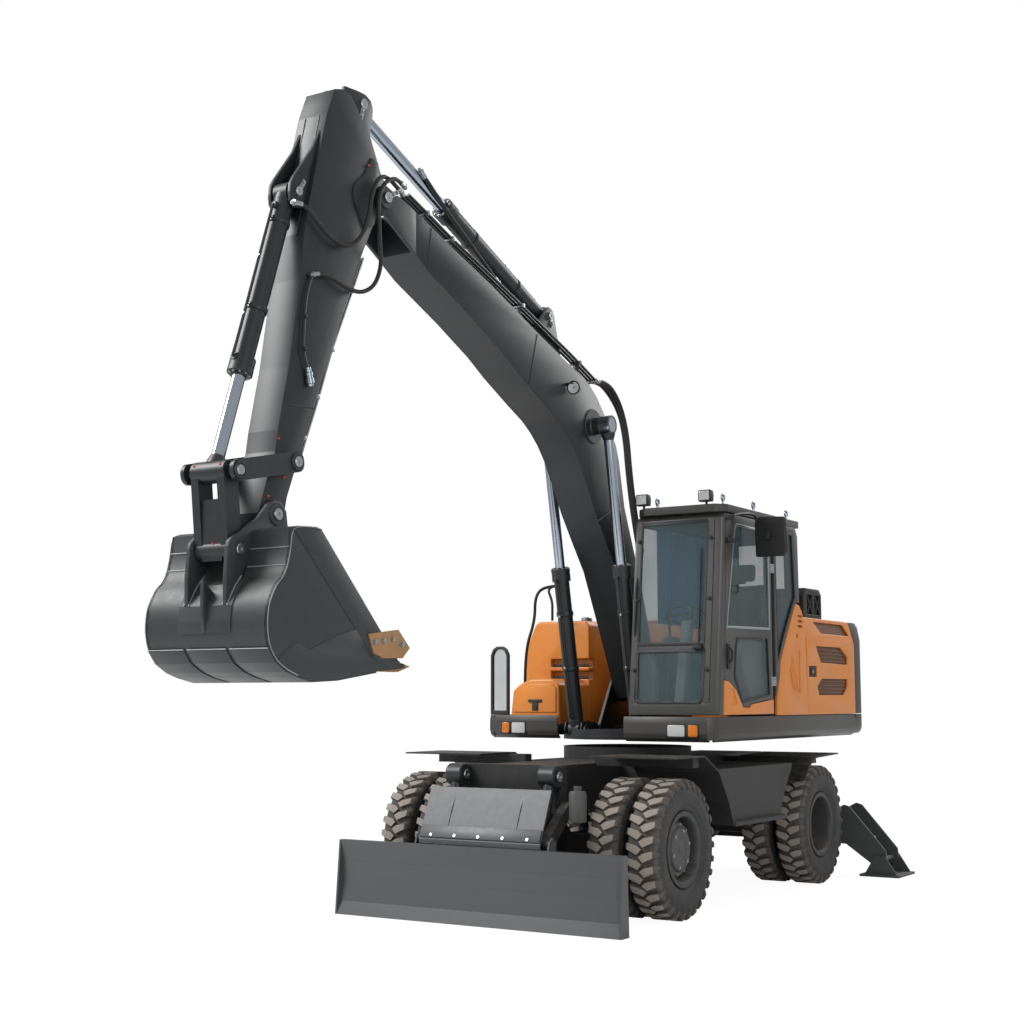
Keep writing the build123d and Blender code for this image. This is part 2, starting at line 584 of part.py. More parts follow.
with BuildPart() as bucket:
    slab_y([(3960, 1896), (4095, 1850), (4700, 1745), (4990, 1790), (5260, 1930), (5410, 2150), (5390, 2290),
            (5100, 2440), (4900, 2640), (4860, 2640), (4870, 2600), (5070, 2410), (5350, 2270), (5380, 2160),
            (5240, 1960), (4980, 1820), (4700, 1775), (4100, 1882), (3965, 1908)],
           5 - BUCKET_HALF, BUCKET_HALF - 5)
    for s in (-1, 1):
        y0, y1 = sorted((s * (BUCKET_HALF - 20), s * BUCKET_HALF))
        slab_y([(4095, 1850), (4700, 1745), (4990, 1790), (5260, 1930), (5410, 2150), (5390, 2290),
                (5100, 2440), (4900, 2640), (4860, 2640), (4356, 2131), (4080, 1900)], y0, y1)
        y0, y1 = sorted((s * 145, s * 180))
        slab_y([(4880, 2620), (4830, 2800), (4870, 2890), (4990, 2890), (5060, 2760), (5230, 2650),
                (5340, 2620), (5380, 2540), (5400, 2250), (5090, 2430)], y0, y1)
    boss_y(BUCKET_PIN, 40, -185, 185)
save(bucket, "bucket")
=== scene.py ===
"""Wheeled excavator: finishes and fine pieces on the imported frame."""
import json
import logging
import math
from dataclasses import dataclass, field
from enum import Enum
from typing import Callable, ClassVar, Iterable, Sequence

import bmesh
import bpy
from mathutils import Matrix, Quaternion, Vector


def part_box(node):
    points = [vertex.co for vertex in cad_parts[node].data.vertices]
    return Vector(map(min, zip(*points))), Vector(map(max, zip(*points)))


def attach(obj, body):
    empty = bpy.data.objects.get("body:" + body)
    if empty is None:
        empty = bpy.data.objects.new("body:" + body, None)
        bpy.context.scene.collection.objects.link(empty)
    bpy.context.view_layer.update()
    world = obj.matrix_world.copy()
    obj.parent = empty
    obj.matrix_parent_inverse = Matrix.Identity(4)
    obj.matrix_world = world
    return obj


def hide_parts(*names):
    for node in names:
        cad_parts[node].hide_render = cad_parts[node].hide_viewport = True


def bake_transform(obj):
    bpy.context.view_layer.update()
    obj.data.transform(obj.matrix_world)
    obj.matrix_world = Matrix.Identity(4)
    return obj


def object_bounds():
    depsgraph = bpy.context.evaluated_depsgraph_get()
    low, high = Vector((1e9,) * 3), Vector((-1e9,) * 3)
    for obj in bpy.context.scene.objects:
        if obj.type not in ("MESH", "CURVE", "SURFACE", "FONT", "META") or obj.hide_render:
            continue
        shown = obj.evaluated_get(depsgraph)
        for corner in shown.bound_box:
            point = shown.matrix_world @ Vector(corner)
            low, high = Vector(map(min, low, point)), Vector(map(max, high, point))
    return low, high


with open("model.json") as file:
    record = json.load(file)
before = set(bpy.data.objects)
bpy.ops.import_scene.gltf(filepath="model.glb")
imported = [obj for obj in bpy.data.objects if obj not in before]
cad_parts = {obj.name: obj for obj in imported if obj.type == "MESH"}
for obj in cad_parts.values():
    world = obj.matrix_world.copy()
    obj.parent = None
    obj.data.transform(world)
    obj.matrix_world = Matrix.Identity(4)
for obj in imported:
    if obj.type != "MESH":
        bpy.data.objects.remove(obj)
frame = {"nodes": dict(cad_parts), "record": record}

logging.basicConfig(level=logging.INFO, format="%(levelname)s %(message)s")
LOG = logging.getLogger("excavator")
CAD_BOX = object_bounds()
MM = 0.001
METRE = 1000
MERGE = 0.00002
Point = tuple[float, float, float]
Flat = tuple[float, float]


# ------------------------------------------------------------------ small tools
def linear(code: str) -> tuple[float, float, float, float]:
    """Turn an sRGB hex colour into linear values.

    Args:
        code: colour such as "#2b2f33".

    Returns:
        Red, green, blue and full alpha, linear.
    """
    parts = [int(code[i:i + 2], 16) / 255 for i in (1, 3, 5)]
    done = [p / 12.92 if p <= 0.04045 else ((p + 0.055) / 1.055) ** 2.4 for p in parts]
    return (*done, 1.0)


def add_node(tree: bpy.types.NodeTree, kind: str, settings: dict | None = None,
             links: dict | None = None) -> bpy.types.Node:
    """Add one shader node with its settings and its incoming links.

    Args:
        tree: node tree that takes the node.
        kind: node type, such as ShaderNodeTexNoise.
        settings: attribute name, input name or input number to value.
        links: input name or number to the socket that feeds it.

    Returns:
        The new node.
    """
    node = tree.nodes.new(kind)
    for key, value in (settings or {}).items():
        if isinstance(key, int) or key in node.inputs:
            node.inputs[key].default_value = value
        else:
            setattr(node, key, value)
    for key, socket in (links or {}).items():
        tree.links.new(socket, node.inputs[key])
    return node


def noise(tree: bpy.types.NodeTree, place: bpy.types.NodeSocket, size_mm: float, detail: float,
          rough: float = 0.5) -> bpy.types.NodeSocket:
    """Add noise with patches of a given size.

    Args:
        tree: node tree that takes the node.
        place: the coordinates.
        size_mm: size of the patches.
        detail: number of finer layers.
        rough: weight of the finer layers.

    Returns:
        The noise's value.
    """
    settings = {"Scale": METRE / size_mm, "Detail": detail, "Roughness": rough}
    return add_node(tree, "ShaderNodeTexNoise", settings, {"Vector": place}).outputs[0]


def ramp(tree: bpy.types.NodeTree, source: bpy.types.NodeSocket, span: Flat,
         result: Flat) -> bpy.types.NodeSocket:
    """Map one span of values to another.

    Args:
        tree: node tree that takes the node.
        source: the value.
        span: the values that come in.
        result: what they turn into.

    Returns:
        The mapped value.
    """
    return add_node(tree, "ShaderNodeMapRange", {1: span[0], 2: span[1], 3: result[0], 4: result[1]},
                    {0: source}).outputs[0]


def product(tree: bpy.types.NodeTree, one: bpy.types.NodeSocket,
            other: bpy.types.NodeSocket) -> bpy.types.NodeSocket:
    """Multiply two values.

    Args:
        tree: node tree that takes the node.
        one: the first value.
        other: the second value.

    Returns:
        Their product.
    """
    return add_node(tree, "ShaderNodeMath", {"operation": "MULTIPLY"}, {0: one, 1: other}).outputs[0]


def blend(tree: bpy.types.NodeTree, share: bpy.types.NodeSocket, one: str | bpy.types.NodeSocket,
          other: str) -> bpy.types.NodeSocket:
    """Blend two colours.

    Args:
        tree: node tree that takes the node.
        share: share of the second colour.
        one: the first colour, as a code or as the socket that gives it.
        other: the second colour's code.

    Returns:
        The blended colour.
    """
    settings, links = {"data_type": "RGBA", 7: linear(other)}, {0: share}
    if isinstance(one, str):
        settings[6] = linear(one)
    else:
        links[6] = one
    return add_node(tree, "ShaderNodeMix", settings, links).outputs[2]


def relief(tree: bpy.types.NodeTree, height: bpy.types.NodeSocket, strength: float) -> bpy.types.NodeSocket:
    """Turn a value into a fine relief.

    Args:
        tree: node tree that takes the node.
        height: the value.
        strength: strength of the relief.

    Returns:
        The relief's normal.
    """
    return add_node(tree, "ShaderNodeBump", {"Strength": strength, "Distance": 0.001},
                    {"Height": height}).outputs[0]


# ------------------------------------------------------------------ finishes
@dataclass(frozen=True)
class Finish:
    """A finish: a name, a main colour and what feeds the shader."""

    name: str
    colour: str

    def build(self) -> bpy.types.Material:
        """Make the node material.

        Returns:
            The finished material.
        """
        material = bpy.data.materials.new(self.name)
        material.use_nodes = True
        tree = material.node_tree
        tree.nodes.clear()
        shader = add_node(tree, "ShaderNodeBsdfPrincipled")
        add_node(tree, "ShaderNodeOutputMaterial", None, {"Surface": shader.outputs[0]})
        place = add_node(tree, "ShaderNodeTexCoord").outputs["Object"]
        for key, value in self.feeds(tree, place).items():
            if isinstance(value, bpy.types.NodeSocket):
                tree.links.new(value, shader.inputs[key])
            else:
                shader.inputs[key].default_value = value
        return material

    def feeds(self, tree: bpy.types.NodeTree, place: bpy.types.NodeSocket) -> dict[str, object]:
        """Give what goes into the shader; each kind of finish has its own.

        Args:
            tree: node tree that takes the nodes.
            place: the coordinates.

        Returns:
            Input name to the socket or value that it takes.
        """
        raise NotImplementedError


@dataclass(frozen=True)
class Enamel(Finish):
    """Sprayed two-pack enamel on steel: satin, a faint orange peel, road dust on what faces up."""

    faded: str
    dust: str = "#8d8377"
    dust_share: float = 0.35
    roughness: float = 0.42
    patch_mm: ClassVar[float] = 420.0
    speck_mm: ClassVar[float] = 60.0
    peel_mm: ClassVar[float] = 14.0
    peel: ClassVar[float] = 0.06

    def feeds(self, tree: bpy.types.NodeTree, place: bpy.types.NodeSocket) -> dict[str, object]:
        """Fade the colour in patches and lay dust on what faces up.

        Args:
            tree: node tree that takes the nodes.
            place: the coordinates.

        Returns:
            Input name to the socket or value that it takes.
        """
        paint = blend(tree, noise(tree, place, self.patch_mm, 6.0, 0.62), self.colour, self.faded)
        normal = add_node(tree, "ShaderNodeNewGeometry").outputs["Normal"]
        up = add_node(tree, "ShaderNodeSeparateXYZ", None, {0: normal}).outputs[2]
        specks = noise(tree, place, self.speck_mm, 8.0, 0.7)
        mask = product(tree, ramp(tree, up, (0.25, 1.0), (0.12, 1.0)),
                       ramp(tree, specks, (0.38, 0.72), (0.0, self.dust_share)))
        return {"Base Color": blend(tree, mask, paint, self.dust),
                "Roughness": ramp(tree, mask, (0.0, 0.5), (self.roughness, 0.8)),
                "Normal": relief(tree, noise(tree, place, self.peel_mm, 2.0), self.peel),
                "IOR": 1.5}


@dataclass(frozen=True)
class Polished(Finish):
    """Ground and hard-chromed or plated bar: near mirror, with fine turning marks."""

    roughness: float = 0.12
    mark_mm: ClassVar[float] = 3.0

    def feeds(self, tree: bpy.types.NodeTree, place: bpy.types.NodeSocket) -> dict[str, object]:
        """Vary the gloss with the turning marks.

        Args:
            tree: node tree that takes the nodes.
            place: the coordinates.

        Returns:
            Input name to the socket or value that it takes.
        """
        marks = noise(tree, place, self.mark_mm, 3.0)
        gloss = ramp(tree, marks, (0.3, 0.7), (self.roughness * 0.7, self.roughness * 1.5))
        return {"Base Color": linear(self.colour), "Roughness": gloss, "Metallic": 1.0}


@dataclass(frozen=True)
class Moulded(Finish):
    """Moulded polymer or rubber: matt, with a fine grain and a little dust."""

    dust: str
    dust_share: float = 0.3
    roughness: float = 0.75
    cloud_mm: ClassVar[float] = 110.0
    grain_mm: ClassVar[float] = 4.0
    grain: ClassVar[float] = 0.25

    def feeds(self, tree: bpy.types.NodeTree, place: bpy.types.NodeSocket) -> dict[str, object]:
        """Cloud the colour with dust and give it a grain.

        Args:
            tree: node tree that takes the nodes.
            place: the coordinates.

        Returns:
            Input name to the socket or value that it takes.
        """
        share = ramp(tree, noise(tree, place, self.cloud_mm, 7.0, 0.7), (0.35, 0.7), (0.0, self.dust_share))
        return {"Base Color": blend(tree, share, self.colour, self.dust),
                "Normal": relief(tree, noise(tree, place, self.grain_mm, 3.0), self.grain),
                "Roughness": self.roughness, "IOR": 1.5}


@dataclass(frozen=True)
class Glazing(Finish):
    """Float glass with a light tint: clear through, glossy, with a trace of dust."""

    cover: float = 0.3
    film_mm: ClassVar[float] = 300.0

    def feeds(self, tree: bpy.types.NodeTree, place: bpy.types.NodeSocket) -> dict[str, object]:
        """Let light through, a little less where the dust lies.

        Args:
            tree: node tree that takes the nodes.
            place: the coordinates.

        Returns:
            Input name to the socket or value that it takes.
        """
        cover = ramp(tree, noise(tree, place, self.film_mm, 5.0), (0.3, 0.8), (self.cover, self.cover + 0.1))
        return {"Alpha": cover, "Base Color": linear(self.colour), "Roughness": 0.03, "IOR": 1.52}


@dataclass(frozen=True)
class Woven(Finish):
    """Hard-wearing seat cloth: a plain weave with a soft sheen."""

    thread: str
    thread_mm: ClassVar[float] = 6.0

    def feeds(self, tree: bpy.types.NodeTree, place: bpy.types.NodeSocket) -> dict[str, object]:
        """Cross two sets of threads.

        Args:
            tree: node tree that takes the nodes.
            place: the coordinates.

        Returns:
            Input name to the socket or value that it takes.
        """
        scale = METRE / self.thread_mm / 6.283
        lines = [add_node(tree, "ShaderNodeTexWave", {"Scale": scale, "bands_direction": way},
                          {"Vector": place}).outputs[1] for way in ("Y", "Z")]
        weave = product(tree, *lines)
        return {"Base Color": blend(tree, weave, self.colour, self.thread),
                "Normal": relief(tree, weave, 0.4), "Roughness": 0.9, "Sheen Weight": 0.3}


class Paint(Enum):
    """Every finish on the machine."""

    CHARCOAL = Enamel("charcoal_enamel", "#15191d", "#1b2024", dust_share=0.2)
    CHASSIS = Enamel("chassis_enamel", "#17191b", "#202122", dust_share=0.4, roughness=0.5)
    SKIRT = Enamel("skirt_enamel", "#343332", "#3e3c3a", dust_share=0.25, roughness=0.4)
    ORANGE = Enamel("orange_enamel", "#d9832f", "#cf7c2b", dust="#b9a184", dust_share=0.2, roughness=0.35)
    BUCKET = Enamel("worn_bucket_steel", "#24282b", "#2c3032", dust="#6f675c", dust_share=0.35,
                    roughness=0.45)
    TEETH = Enamel("forged_teeth", "#8f6a45", "#a57d52", dust="#6f5a45", dust_share=0.5, roughness=0.6)
    RIM = Enamel("rim_enamel", "#2b2d2e", "#37383a", dust_share=0.5, roughness=0.5)
    IRON = Enamel("cast_engine_iron", "#4c4c4d", "#5a5a5a", dust_share=0.3, roughness=0.6)
    HUB = Enamel("dusty_hub_enamel", "#3d3e3f", "#4a4a49", dust_share=0.5, roughness=0.55)
    RUBBER = Moulded("tyre_wall_rubber", "#303133", "#4c4a47", dust_share=0.4, roughness=0.7)
    TREAD = Moulded("scuffed_tread_rubber", "#8a827c", "#a0978d", dust_share=0.6, roughness=0.85)
    GROOVE = Moulded("dusty_groove_rubber", "#4b4744", "#6f6861", dust_share=0.5, roughness=0.85)
    PLASTIC = Moulded("grained_grey_plastic", "#7d8480", "#9aa09a", dust_share=0.2, roughness=0.6)
    CHROME = Polished("hard_chrome", "#a9b4c0")
    PIN = Polished("plated_steel", "#a9acae", roughness=0.3)
    BLADE = Enamel("blade_enamel", "#45474a", "#4d4e50", dust="#6f6c69", dust_share=0.3, roughness=0.38)
    LEG = Enamel("leg_enamel", "#3c4140", "#474c4b", dust_share=0.35, roughness=0.45)
    LENS = Glazing("clear_lamp_lens", "#cfd3d2", cover=0.75)
    GLASS = Glazing("tinted_cab_glass", "#55666a")
    CAB = Enamel("cab_enamel", "#333433", "#3d3e3c", dust_share=0.25, roughness=0.4)
    # Darkened orange for the engine-door louvres and the sheet behind the vents: painted shade.
    LOUVRE_SHADE = Enamel("louvre_painted_shade", "#5f3d20", "#6f4a2a", dust_share=0.3, roughness=0.5)
    INSIDE = Moulded("dark_cab_lining", "#101214", "#23262a", dust_share=0.15, roughness=0.8)
    HOSE = Moulded("hose_rubber", "#17181a", "#34332f", dust_share=0.25, roughness=0.6)
    BLACK = Moulded("black_plastic", "#141516", "#33332f", dust_share=0.25, roughness=0.5)
    SEAM = Enamel("bright_weld_seam", "#6b6e70", "#7a7c7d", dust_share=0.2, roughness=0.4)
    CAP = Moulded("red_grease_cap", "#c8392e", "#8a4a40", dust_share=0.15, roughness=0.45)
    AMBER = Glazing("amber_lamp_lens", "#d97a1e", cover=0.85)
    CURTAIN = Woven("blue_curtain_cloth", "#2f6fa8", "#4a86b8")
    CLOTH = Woven("woven_seat_cloth", "#25282c", "#4a4e55")


_MADE: dict[str, bpy.types.Material] = {}


def finish_of(paint: Paint) -> bpy.types.Material:
    """Give the material of a finish, made once.

    Args:
        paint: which finish.

    Returns:
        Its material.
    """
    if paint.name not in _MADE:
        _MADE[paint.name] = paint.value.build()
    return _MADE[paint.name]


def coat(names: Iterable[str], paint: Paint) -> None:
    """Put a finish on CAD nodes.

    Args:
        names: the nodes' names.
        paint: their finish.
    """
    for name in names:
        mesh = frame["nodes"][name].data
        mesh.materials.clear()
        mesh.materials.append(finish_of(paint))


# ------------------------------------------------------------------ workbench
def middle_x() -> float:
    """Find the middle of the wheelbase in the frame.

    Returns:
        Its x in metres.
    """
    ends = [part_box(f"tyres_{end}_left") for end in ("front", "rear")]
    return sum(lo.x + hi.x for lo, hi in ends) / 4


MID = middle_x()
LEFT = Vector((0, 1, 0))
UP = Vector((0, 0, 1))
WHEEL_ENDS = (("front", 1420.0), ("rear", -1420.0))
WHEEL_SIDES = (("left", 1.0), ("right", -1.0))
AXLE_HEIGHT = 530.0
BOOM_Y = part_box("boom_cylinder_barrels")[0].y / 2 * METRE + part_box("boom_cylinder_barrels")[1].y / 2 * METRE


def at(x: float, y: float, z: float) -> Vector:
    """Turn millimetres from the middle of the wheelbase into a place in the frame.

    Args:
        x: forward.
        y: left.
        z: up.

    Returns:
        The place in metres.
    """
    return Vector((x * MM + MID, y * MM, z * MM))


def start(kind: str, **sizes: object) -> bpy.types.Object:
    """Add one primitive with nothing else selected.

    Args:
        kind: the primitive's name in Blender, such as circle or cube.
        sizes: the operator's own settings.

    Returns:
        The new object, selected and active.
    """
    if bpy.context.object and bpy.context.object.mode == "EDIT":
        bpy.ops.object.mode_set(mode="OBJECT")
    bpy.ops.object.select_all(action="DESELECT")
    getattr(bpy.ops.mesh, f"primitive_{kind}_add")(**sizes)
    return bpy.context.object


def choose(piece: bpy.types.Object) -> None:
    """Make a piece the only one that is selected, and the active one.

    Args:
        piece: the piece.
    """
    bpy.ops.object.select_all(action="DESELECT")
    piece.select_set(True)
    bpy.context.view_layer.objects.active = piece


def edit(piece: bpy.types.Object) -> None:
    """Open a piece in edit mode with all of it selected.

    Args:
        piece: what is edited.
    """
    choose(piece)
    bpy.ops.object.mode_set(mode="EDIT")
    bpy.ops.mesh.select_all(action="SELECT")


def close() -> None:
    """Go back to object mode."""
    bpy.ops.object.mode_set(mode="OBJECT")


def pick(piece: bpy.types.Object, test: Callable[[bmesh.types.BMFace], bool]) -> None:
    """Select the faces that pass a test, in edit mode.

    Args:
        piece: the piece in edit mode.
        test: takes a face and says whether it is wanted.
    """
    bpy.ops.mesh.select_mode(type="FACE")
    mesh = bmesh.from_edit_mesh(piece.data)
    for face in mesh.faces:
        face.select_set(bool(test(face)))
    mesh.select_flush_mode()
    bmesh.update_edit_mesh(piece.data)


def tidy() -> None:
    """Merge doubles, drop loose ends and turn the faces outwards, in edit mode."""
    bpy.ops.mesh.select_all(action="SELECT")
    bpy.ops.mesh.remove_doubles(threshold=MERGE)
    bpy.ops.mesh.delete_loose(use_verts=True, use_edges=True, use_faces=False)
    bpy.ops.mesh.select_all(action="SELECT")
    bpy.ops.mesh.normals_make_consistent(inside=False)


def lay(plane: str, u: float, v: float, w: float) -> Vector:
    """Place a point of a flat outline.

    Args:
        plane: the axis that the outline faces, "x", "y" or "z".
        u: the outline's first value in millimetres.
        v: its second value.
        w: where the plane stands on its axis.

    Returns:
        The place in metres.
    """
    return {"x": at(w, u, v), "y": at(u, w, v), "z": at(u, v, w)}[plane]


def plate(points: Sequence[Flat], plane: str, w0: float, w1: float, bevel: float,
          segments: int = 2) -> bpy.types.Object:
    """Cut a plate to an outline, give it its thickness and break its edges.

    Args:
        points: the outline in millimetres.
        plane: the axis that the outline faces.
        w0: where the plate starts on that axis.
        w1: where it ends.
        bevel: width of the broken edge in millimetres.
        segments: steps across the broken edge.

    Returns:
        The plate.
    """
    piece = start("circle", vertices=len(points), radius=1.0, fill_type="NGON")
    for vertex, (u, v) in zip(piece.data.vertices, points):
        vertex.co = lay(plane, u, v, w0)
    edit(piece)
    push = lay(plane, 0, 0, w1) - lay(plane, 0, 0, w0)
    bpy.ops.mesh.extrude_region_move(TRANSFORM_OT_translate={"value": push})
    tidy()
    if bevel:
        bpy.ops.mesh.bevel(offset=bevel * MM, segments=segments, affect="EDGES")
    close()
    return piece


def slab(low: Point, high: Point, bevel: float) -> bpy.types.Object:
    """Make a block between two corners with broken edges.

    Args:
        low: lowest corner in millimetres.
        high: highest corner.
        bevel: width of the broken edge.

    Returns:
        The block.
    """
    outline = [(low[0], low[1]), (high[0], low[1]), (high[0], high[1]), (low[0], high[1])]
    return plate(outline, "z", low[2], high[2], bevel)


def turned(section: Sequence[Flat], centre: Vector, axis: Vector, steps: int) -> bpy.types.Object:
    """Turn a closed section round an axis, as on a lathe.

    Args:
        section: closed outline as (along, radius) pairs in millimetres.
        centre: a point on the axis, in metres.
        axis: the axis's direction.
        steps: steps round the turn.

    Returns:
        The turned piece.
    """
    ahead = axis.normalized()
    out = ahead.orthogonal().normalized()
    piece = start("circle", vertices=len(section), radius=1.0, fill_type="NOTHING")
    for vertex, (along, radius) in zip(piece.data.vertices, section):
        vertex.co = centre + ahead * along * MM + out * radius * MM
    edit(piece)
    bpy.ops.mesh.spin(steps=steps, angle=2 * math.pi, center=centre, axis=ahead)
    tidy()
    close()
    return piece


def tube(points: Sequence[Vector], radius: float, sides: int = 3, smooth: int = 6) -> bpy.types.Object:
    """Bend a round pipe or hose along a smooth line.

    Args:
        points: control points of the line, in metres.
        radius: the pipe's radius in millimetres.
        sides: roundness of the pipe, in steps of a quarter.
        smooth: steps along each run.

    Returns:
        The pipe as a mesh.
    """
    line = list(points)
    while len(line) < 5:
        spans = [(line[i + 1] - line[i]).length for i in range(len(line) - 1)]
        longest = spans.index(max(spans))
        line.insert(longest + 1, (line[longest] + line[longest + 1]) / 2)
    if bpy.context.object and bpy.context.object.mode == "EDIT":
        close()
    bpy.ops.object.select_all(action="DESELECT")
    bpy.ops.curve.primitive_nurbs_path_add(location=(0, 0, 0))
    piece = bpy.context.object
    spline = piece.data.splines[0]
    spline.points.add(len(line) - len(spline.points))
    for point, place in zip(spline.points, line):
        point.co = (*place, 1.0)
    spline.order_u = 3
    spline.use_endpoint_u = True
    spline.resolution_u = smooth
    piece.data.bevel_depth = radius * MM
    piece.data.bevel_resolution = sides
    piece.data.use_fill_caps = True
    bpy.ops.object.convert(target="MESH")
    return bpy.context.object


def copies(pattern: bpy.types.Object, places: Iterable[Matrix]) -> bpy.types.Object:
    """Copy a pattern piece to each place and join the copies.

    Args:
        pattern: the piece, made at the origin; it is used up.
        places: one matrix for each copy.

    Returns:
        The joined copies.
    """
    made = []
    for place in places:
        twin = pattern.copy()
        twin.data = pattern.data.copy()
        twin.data.transform(place)
        bpy.context.scene.collection.objects.link(twin)
        made.append(twin)
    bpy.data.objects.remove(pattern)
    return joined(made)


def joined(pieces: Sequence[bpy.types.Object]) -> bpy.types.Object:
    """Join pieces into one.

    Args:
        pieces: the pieces, of one finish.

    Returns:
        The joined piece.
    """
    bpy.ops.object.select_all(action="DESELECT")
    for piece in pieces:
        piece.select_set(True)
    bpy.context.view_layer.objects.active = pieces[0]
    if len(pieces) > 1:
        bpy.ops.object.join()
    return bpy.context.view_layer.objects.active


def facing(place: Vector, normal: Vector) -> Matrix:
    """Give the matrix that stands a pattern on a surface.

    Args:
        place: where, in metres.
        normal: the way that the pattern's +Z turns to.

    Returns:
        The matrix.
    """
    return Matrix.Translation(place) @ normal.to_track_quat("Z", "Y").to_matrix().to_4x4()


def bolt_head(width: float) -> bpy.types.Object:
    """Make one hexagon head on its washer, standing on +Z at the origin.

    Args:
        width: width across the corners, in millimetres.

    Returns:
        The pattern piece.
    """
    head = start("circle", vertices=6, radius=width / 2 * MM, fill_type="NGON")
    edit(head)
    bpy.ops.mesh.extrude_region_move(TRANSFORM_OT_translate={"value": (0, 0, width * 0.42 * MM)})
    pick(head, lambda face: face.normal.z > 0.9 and face.calc_center_median().z > 0)
    bpy.ops.mesh.inset(thickness=width * 0.07 * MM, depth=width * 0.05 * MM)
    tidy()
    close()
    washer = turned([(0, 0), (0, width * 0.66), (width * 0.1, width * 0.66), (width * 0.1, 0)],
                    Vector((0, 0, 0)), UP, 16)
    return joined([head, washer])


def bolts(spots: Sequence[tuple[Vector, Vector]], width: float) -> bpy.types.Object:
    """Set hexagon heads on a surface.

    Args:
        spots: (place, normal) of each.
        width: width across the corners, in millimetres.

    Returns:
        All the heads as one piece.
    """
    return copies(bolt_head(width), [facing(place, normal) for place, normal in spots])


def ring_spots(centre: Vector, axis: Vector, radius: float, count: int,
               turn: float = 0.0) -> list[tuple[Vector, Vector]]:
    """Space bolts round a circle.

    Args:
        centre: middle of the circle in metres.
        axis: the way the bolts face.
        radius: the circle's radius in millimetres.
        count: number of bolts.
        turn: share of a step that the first is turned by.

    Returns:
        (place, normal) of each.
    """
    ahead = axis.normalized()
    out = ahead.orthogonal().normalized()
    spots = []
    for step in range(count):
        spin = Matrix.Rotation(2 * math.pi * (step + turn) / count, 3, ahead)
        spots.append((centre + spin @ out * radius * MM, ahead))
    return spots


def pin_end(centre: Vector, axis: Vector, radius: float, reach: float = 14.0) -> bpy.types.Object:
    """Turn the visible end of a pin: a chamfered head with a grease recess.

    Args:
        centre: middle of the pin's end face before the head, in metres.
        axis: the way the head faces.
        radius: the head's radius in millimetres.
        reach: how far the head stands proud.

    Returns:
        The head.
    """
    return turned([(-2, 0), (-2, radius), (reach - 4, radius), (reach, radius - 4), (reach, radius * 0.34),
                   (reach - 5, radius * 0.26), (reach - 5, 0)], centre, axis, 28)


def dressed(piece: bpy.types.Object, name: str, paint: Paint, angle: float = 35.0) -> None:
    """Name, smooth and coat a finished piece.

    Args:
        piece: the finished piece.
        name: its name.
        paint: its finish, unless it has materials.
        angle: edges sharper than this stay sharp, in degrees.
    """
    choose(piece)
    bpy.ops.object.transform_apply(location=True, rotation=True, scale=True)
    bpy.ops.object.shade_smooth_by_angle(angle=math.radians(angle))
    piece.name = name
    piece.data.name = name
    if not piece.data.materials:
        piece.data.materials.append(finish_of(paint))


def ready(piece: bpy.types.Object, name: str, body: str, paint: Paint, angle: float = 35.0,
          replaces: Sequence[str] = ()) -> None:
    """Dress a finished piece and let it ride on its body.

    Args:
        piece: the finished piece.
        name: its name.
        body: the body that it moves with.
        paint: its finish, unless it has materials.
        angle: edges sharper than this stay sharp, in degrees.
        replaces: nodes that it stands for.
    """
    dressed(piece, name, paint, angle)
    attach(piece, body)
    if replaces:
        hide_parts(*replaces)
    LOG.info("%s on %s: %d faces", name, body, len(piece.data.polygons))


def through(piece: bpy.types.Object, kind: str, **sizes: object) -> bpy.types.Object:
    """Add one modifier and apply it.

    Args:
        piece: what it works on.
        kind: the modifier's type.
        sizes: its settings.

    Returns:
        The piece.
    """
    choose(piece)
    modifier = piece.modifiers.new(kind.lower(), kind)
    for key, value in sizes.items():
        setattr(modifier, key, value)
    bpy.ops.object.modifier_apply(modifier=modifier.name)
    return piece


def cut(piece: bpy.types.Object, *tools: bpy.types.Object) -> bpy.types.Object:
    """Cut tools out of a piece; they are used up.

    Args:
        piece: what is cut.
        tools: closed shapes.

    Returns:
        The piece.
    """
    for tool in tools:
        through(piece, "BOOLEAN", operation="DIFFERENCE", solver="EXACT", object=tool)
        bpy.data.objects.remove(tool)
    return piece


def soften(piece: bpy.types.Object, width: float, segments: int = 2) -> bpy.types.Object:
    """Break the sharp edges of a piece.

    Args:
        piece: the piece.
        width: width of the broken edge in millimetres.
        segments: steps across it.

    Returns:
        The piece.
    """
    return through(piece, "BEVEL", width=width * MM, segments=segments, limit_method="ANGLE",
                   angle_limit=math.radians(28), use_clamp_overlap=True)


def ledge(points: Sequence[Flat], plane: str, w0: float, w1: float, holes: Sequence[Sequence[Flat]],
          bevel: float) -> bpy.types.Object:
    """Cut a plate to an outline with windows in it.

    Args:
        points: the outline in millimetres.
        plane: the axis that it faces.
        w0: where it starts on that axis.
        w1: where it ends.
        holes: outlines of the windows.
        bevel: width of the broken edges.

    Returns:
        The plate.
    """
    piece = plate(points, plane, w0, w1, 0)
    cut(piece, *[plate(hole, plane, w0 - 60, w1 + 60, 0) for hole in holes])
    return soften(piece, bevel)


def dot(place: Vector, normal: Vector, radius: float = 9.0) -> bpy.types.Object:
    """Turn one domed cap that stands on a surface.

    Args:
        place: middle of its foot.
        normal: the way it faces.
        radius: its radius in millimetres.

    Returns:
        The cap.
    """
    return turned([(-1, 0), (-1, radius), (radius * 0.5, radius * 0.9), (radius * 0.9, radius * 0.5),
                   (radius, 0)], place, normal, 12)


def bead(points: Sequence[Vector], radius: float) -> bpy.types.Object:
    """Lay a weld bead along a line of points.

    Args:
        points: the line, in metres.
        radius: its radius in millimetres.

    Returns:
        The bead.
    """
    return tube(points, radius, sides=1, smooth=2)


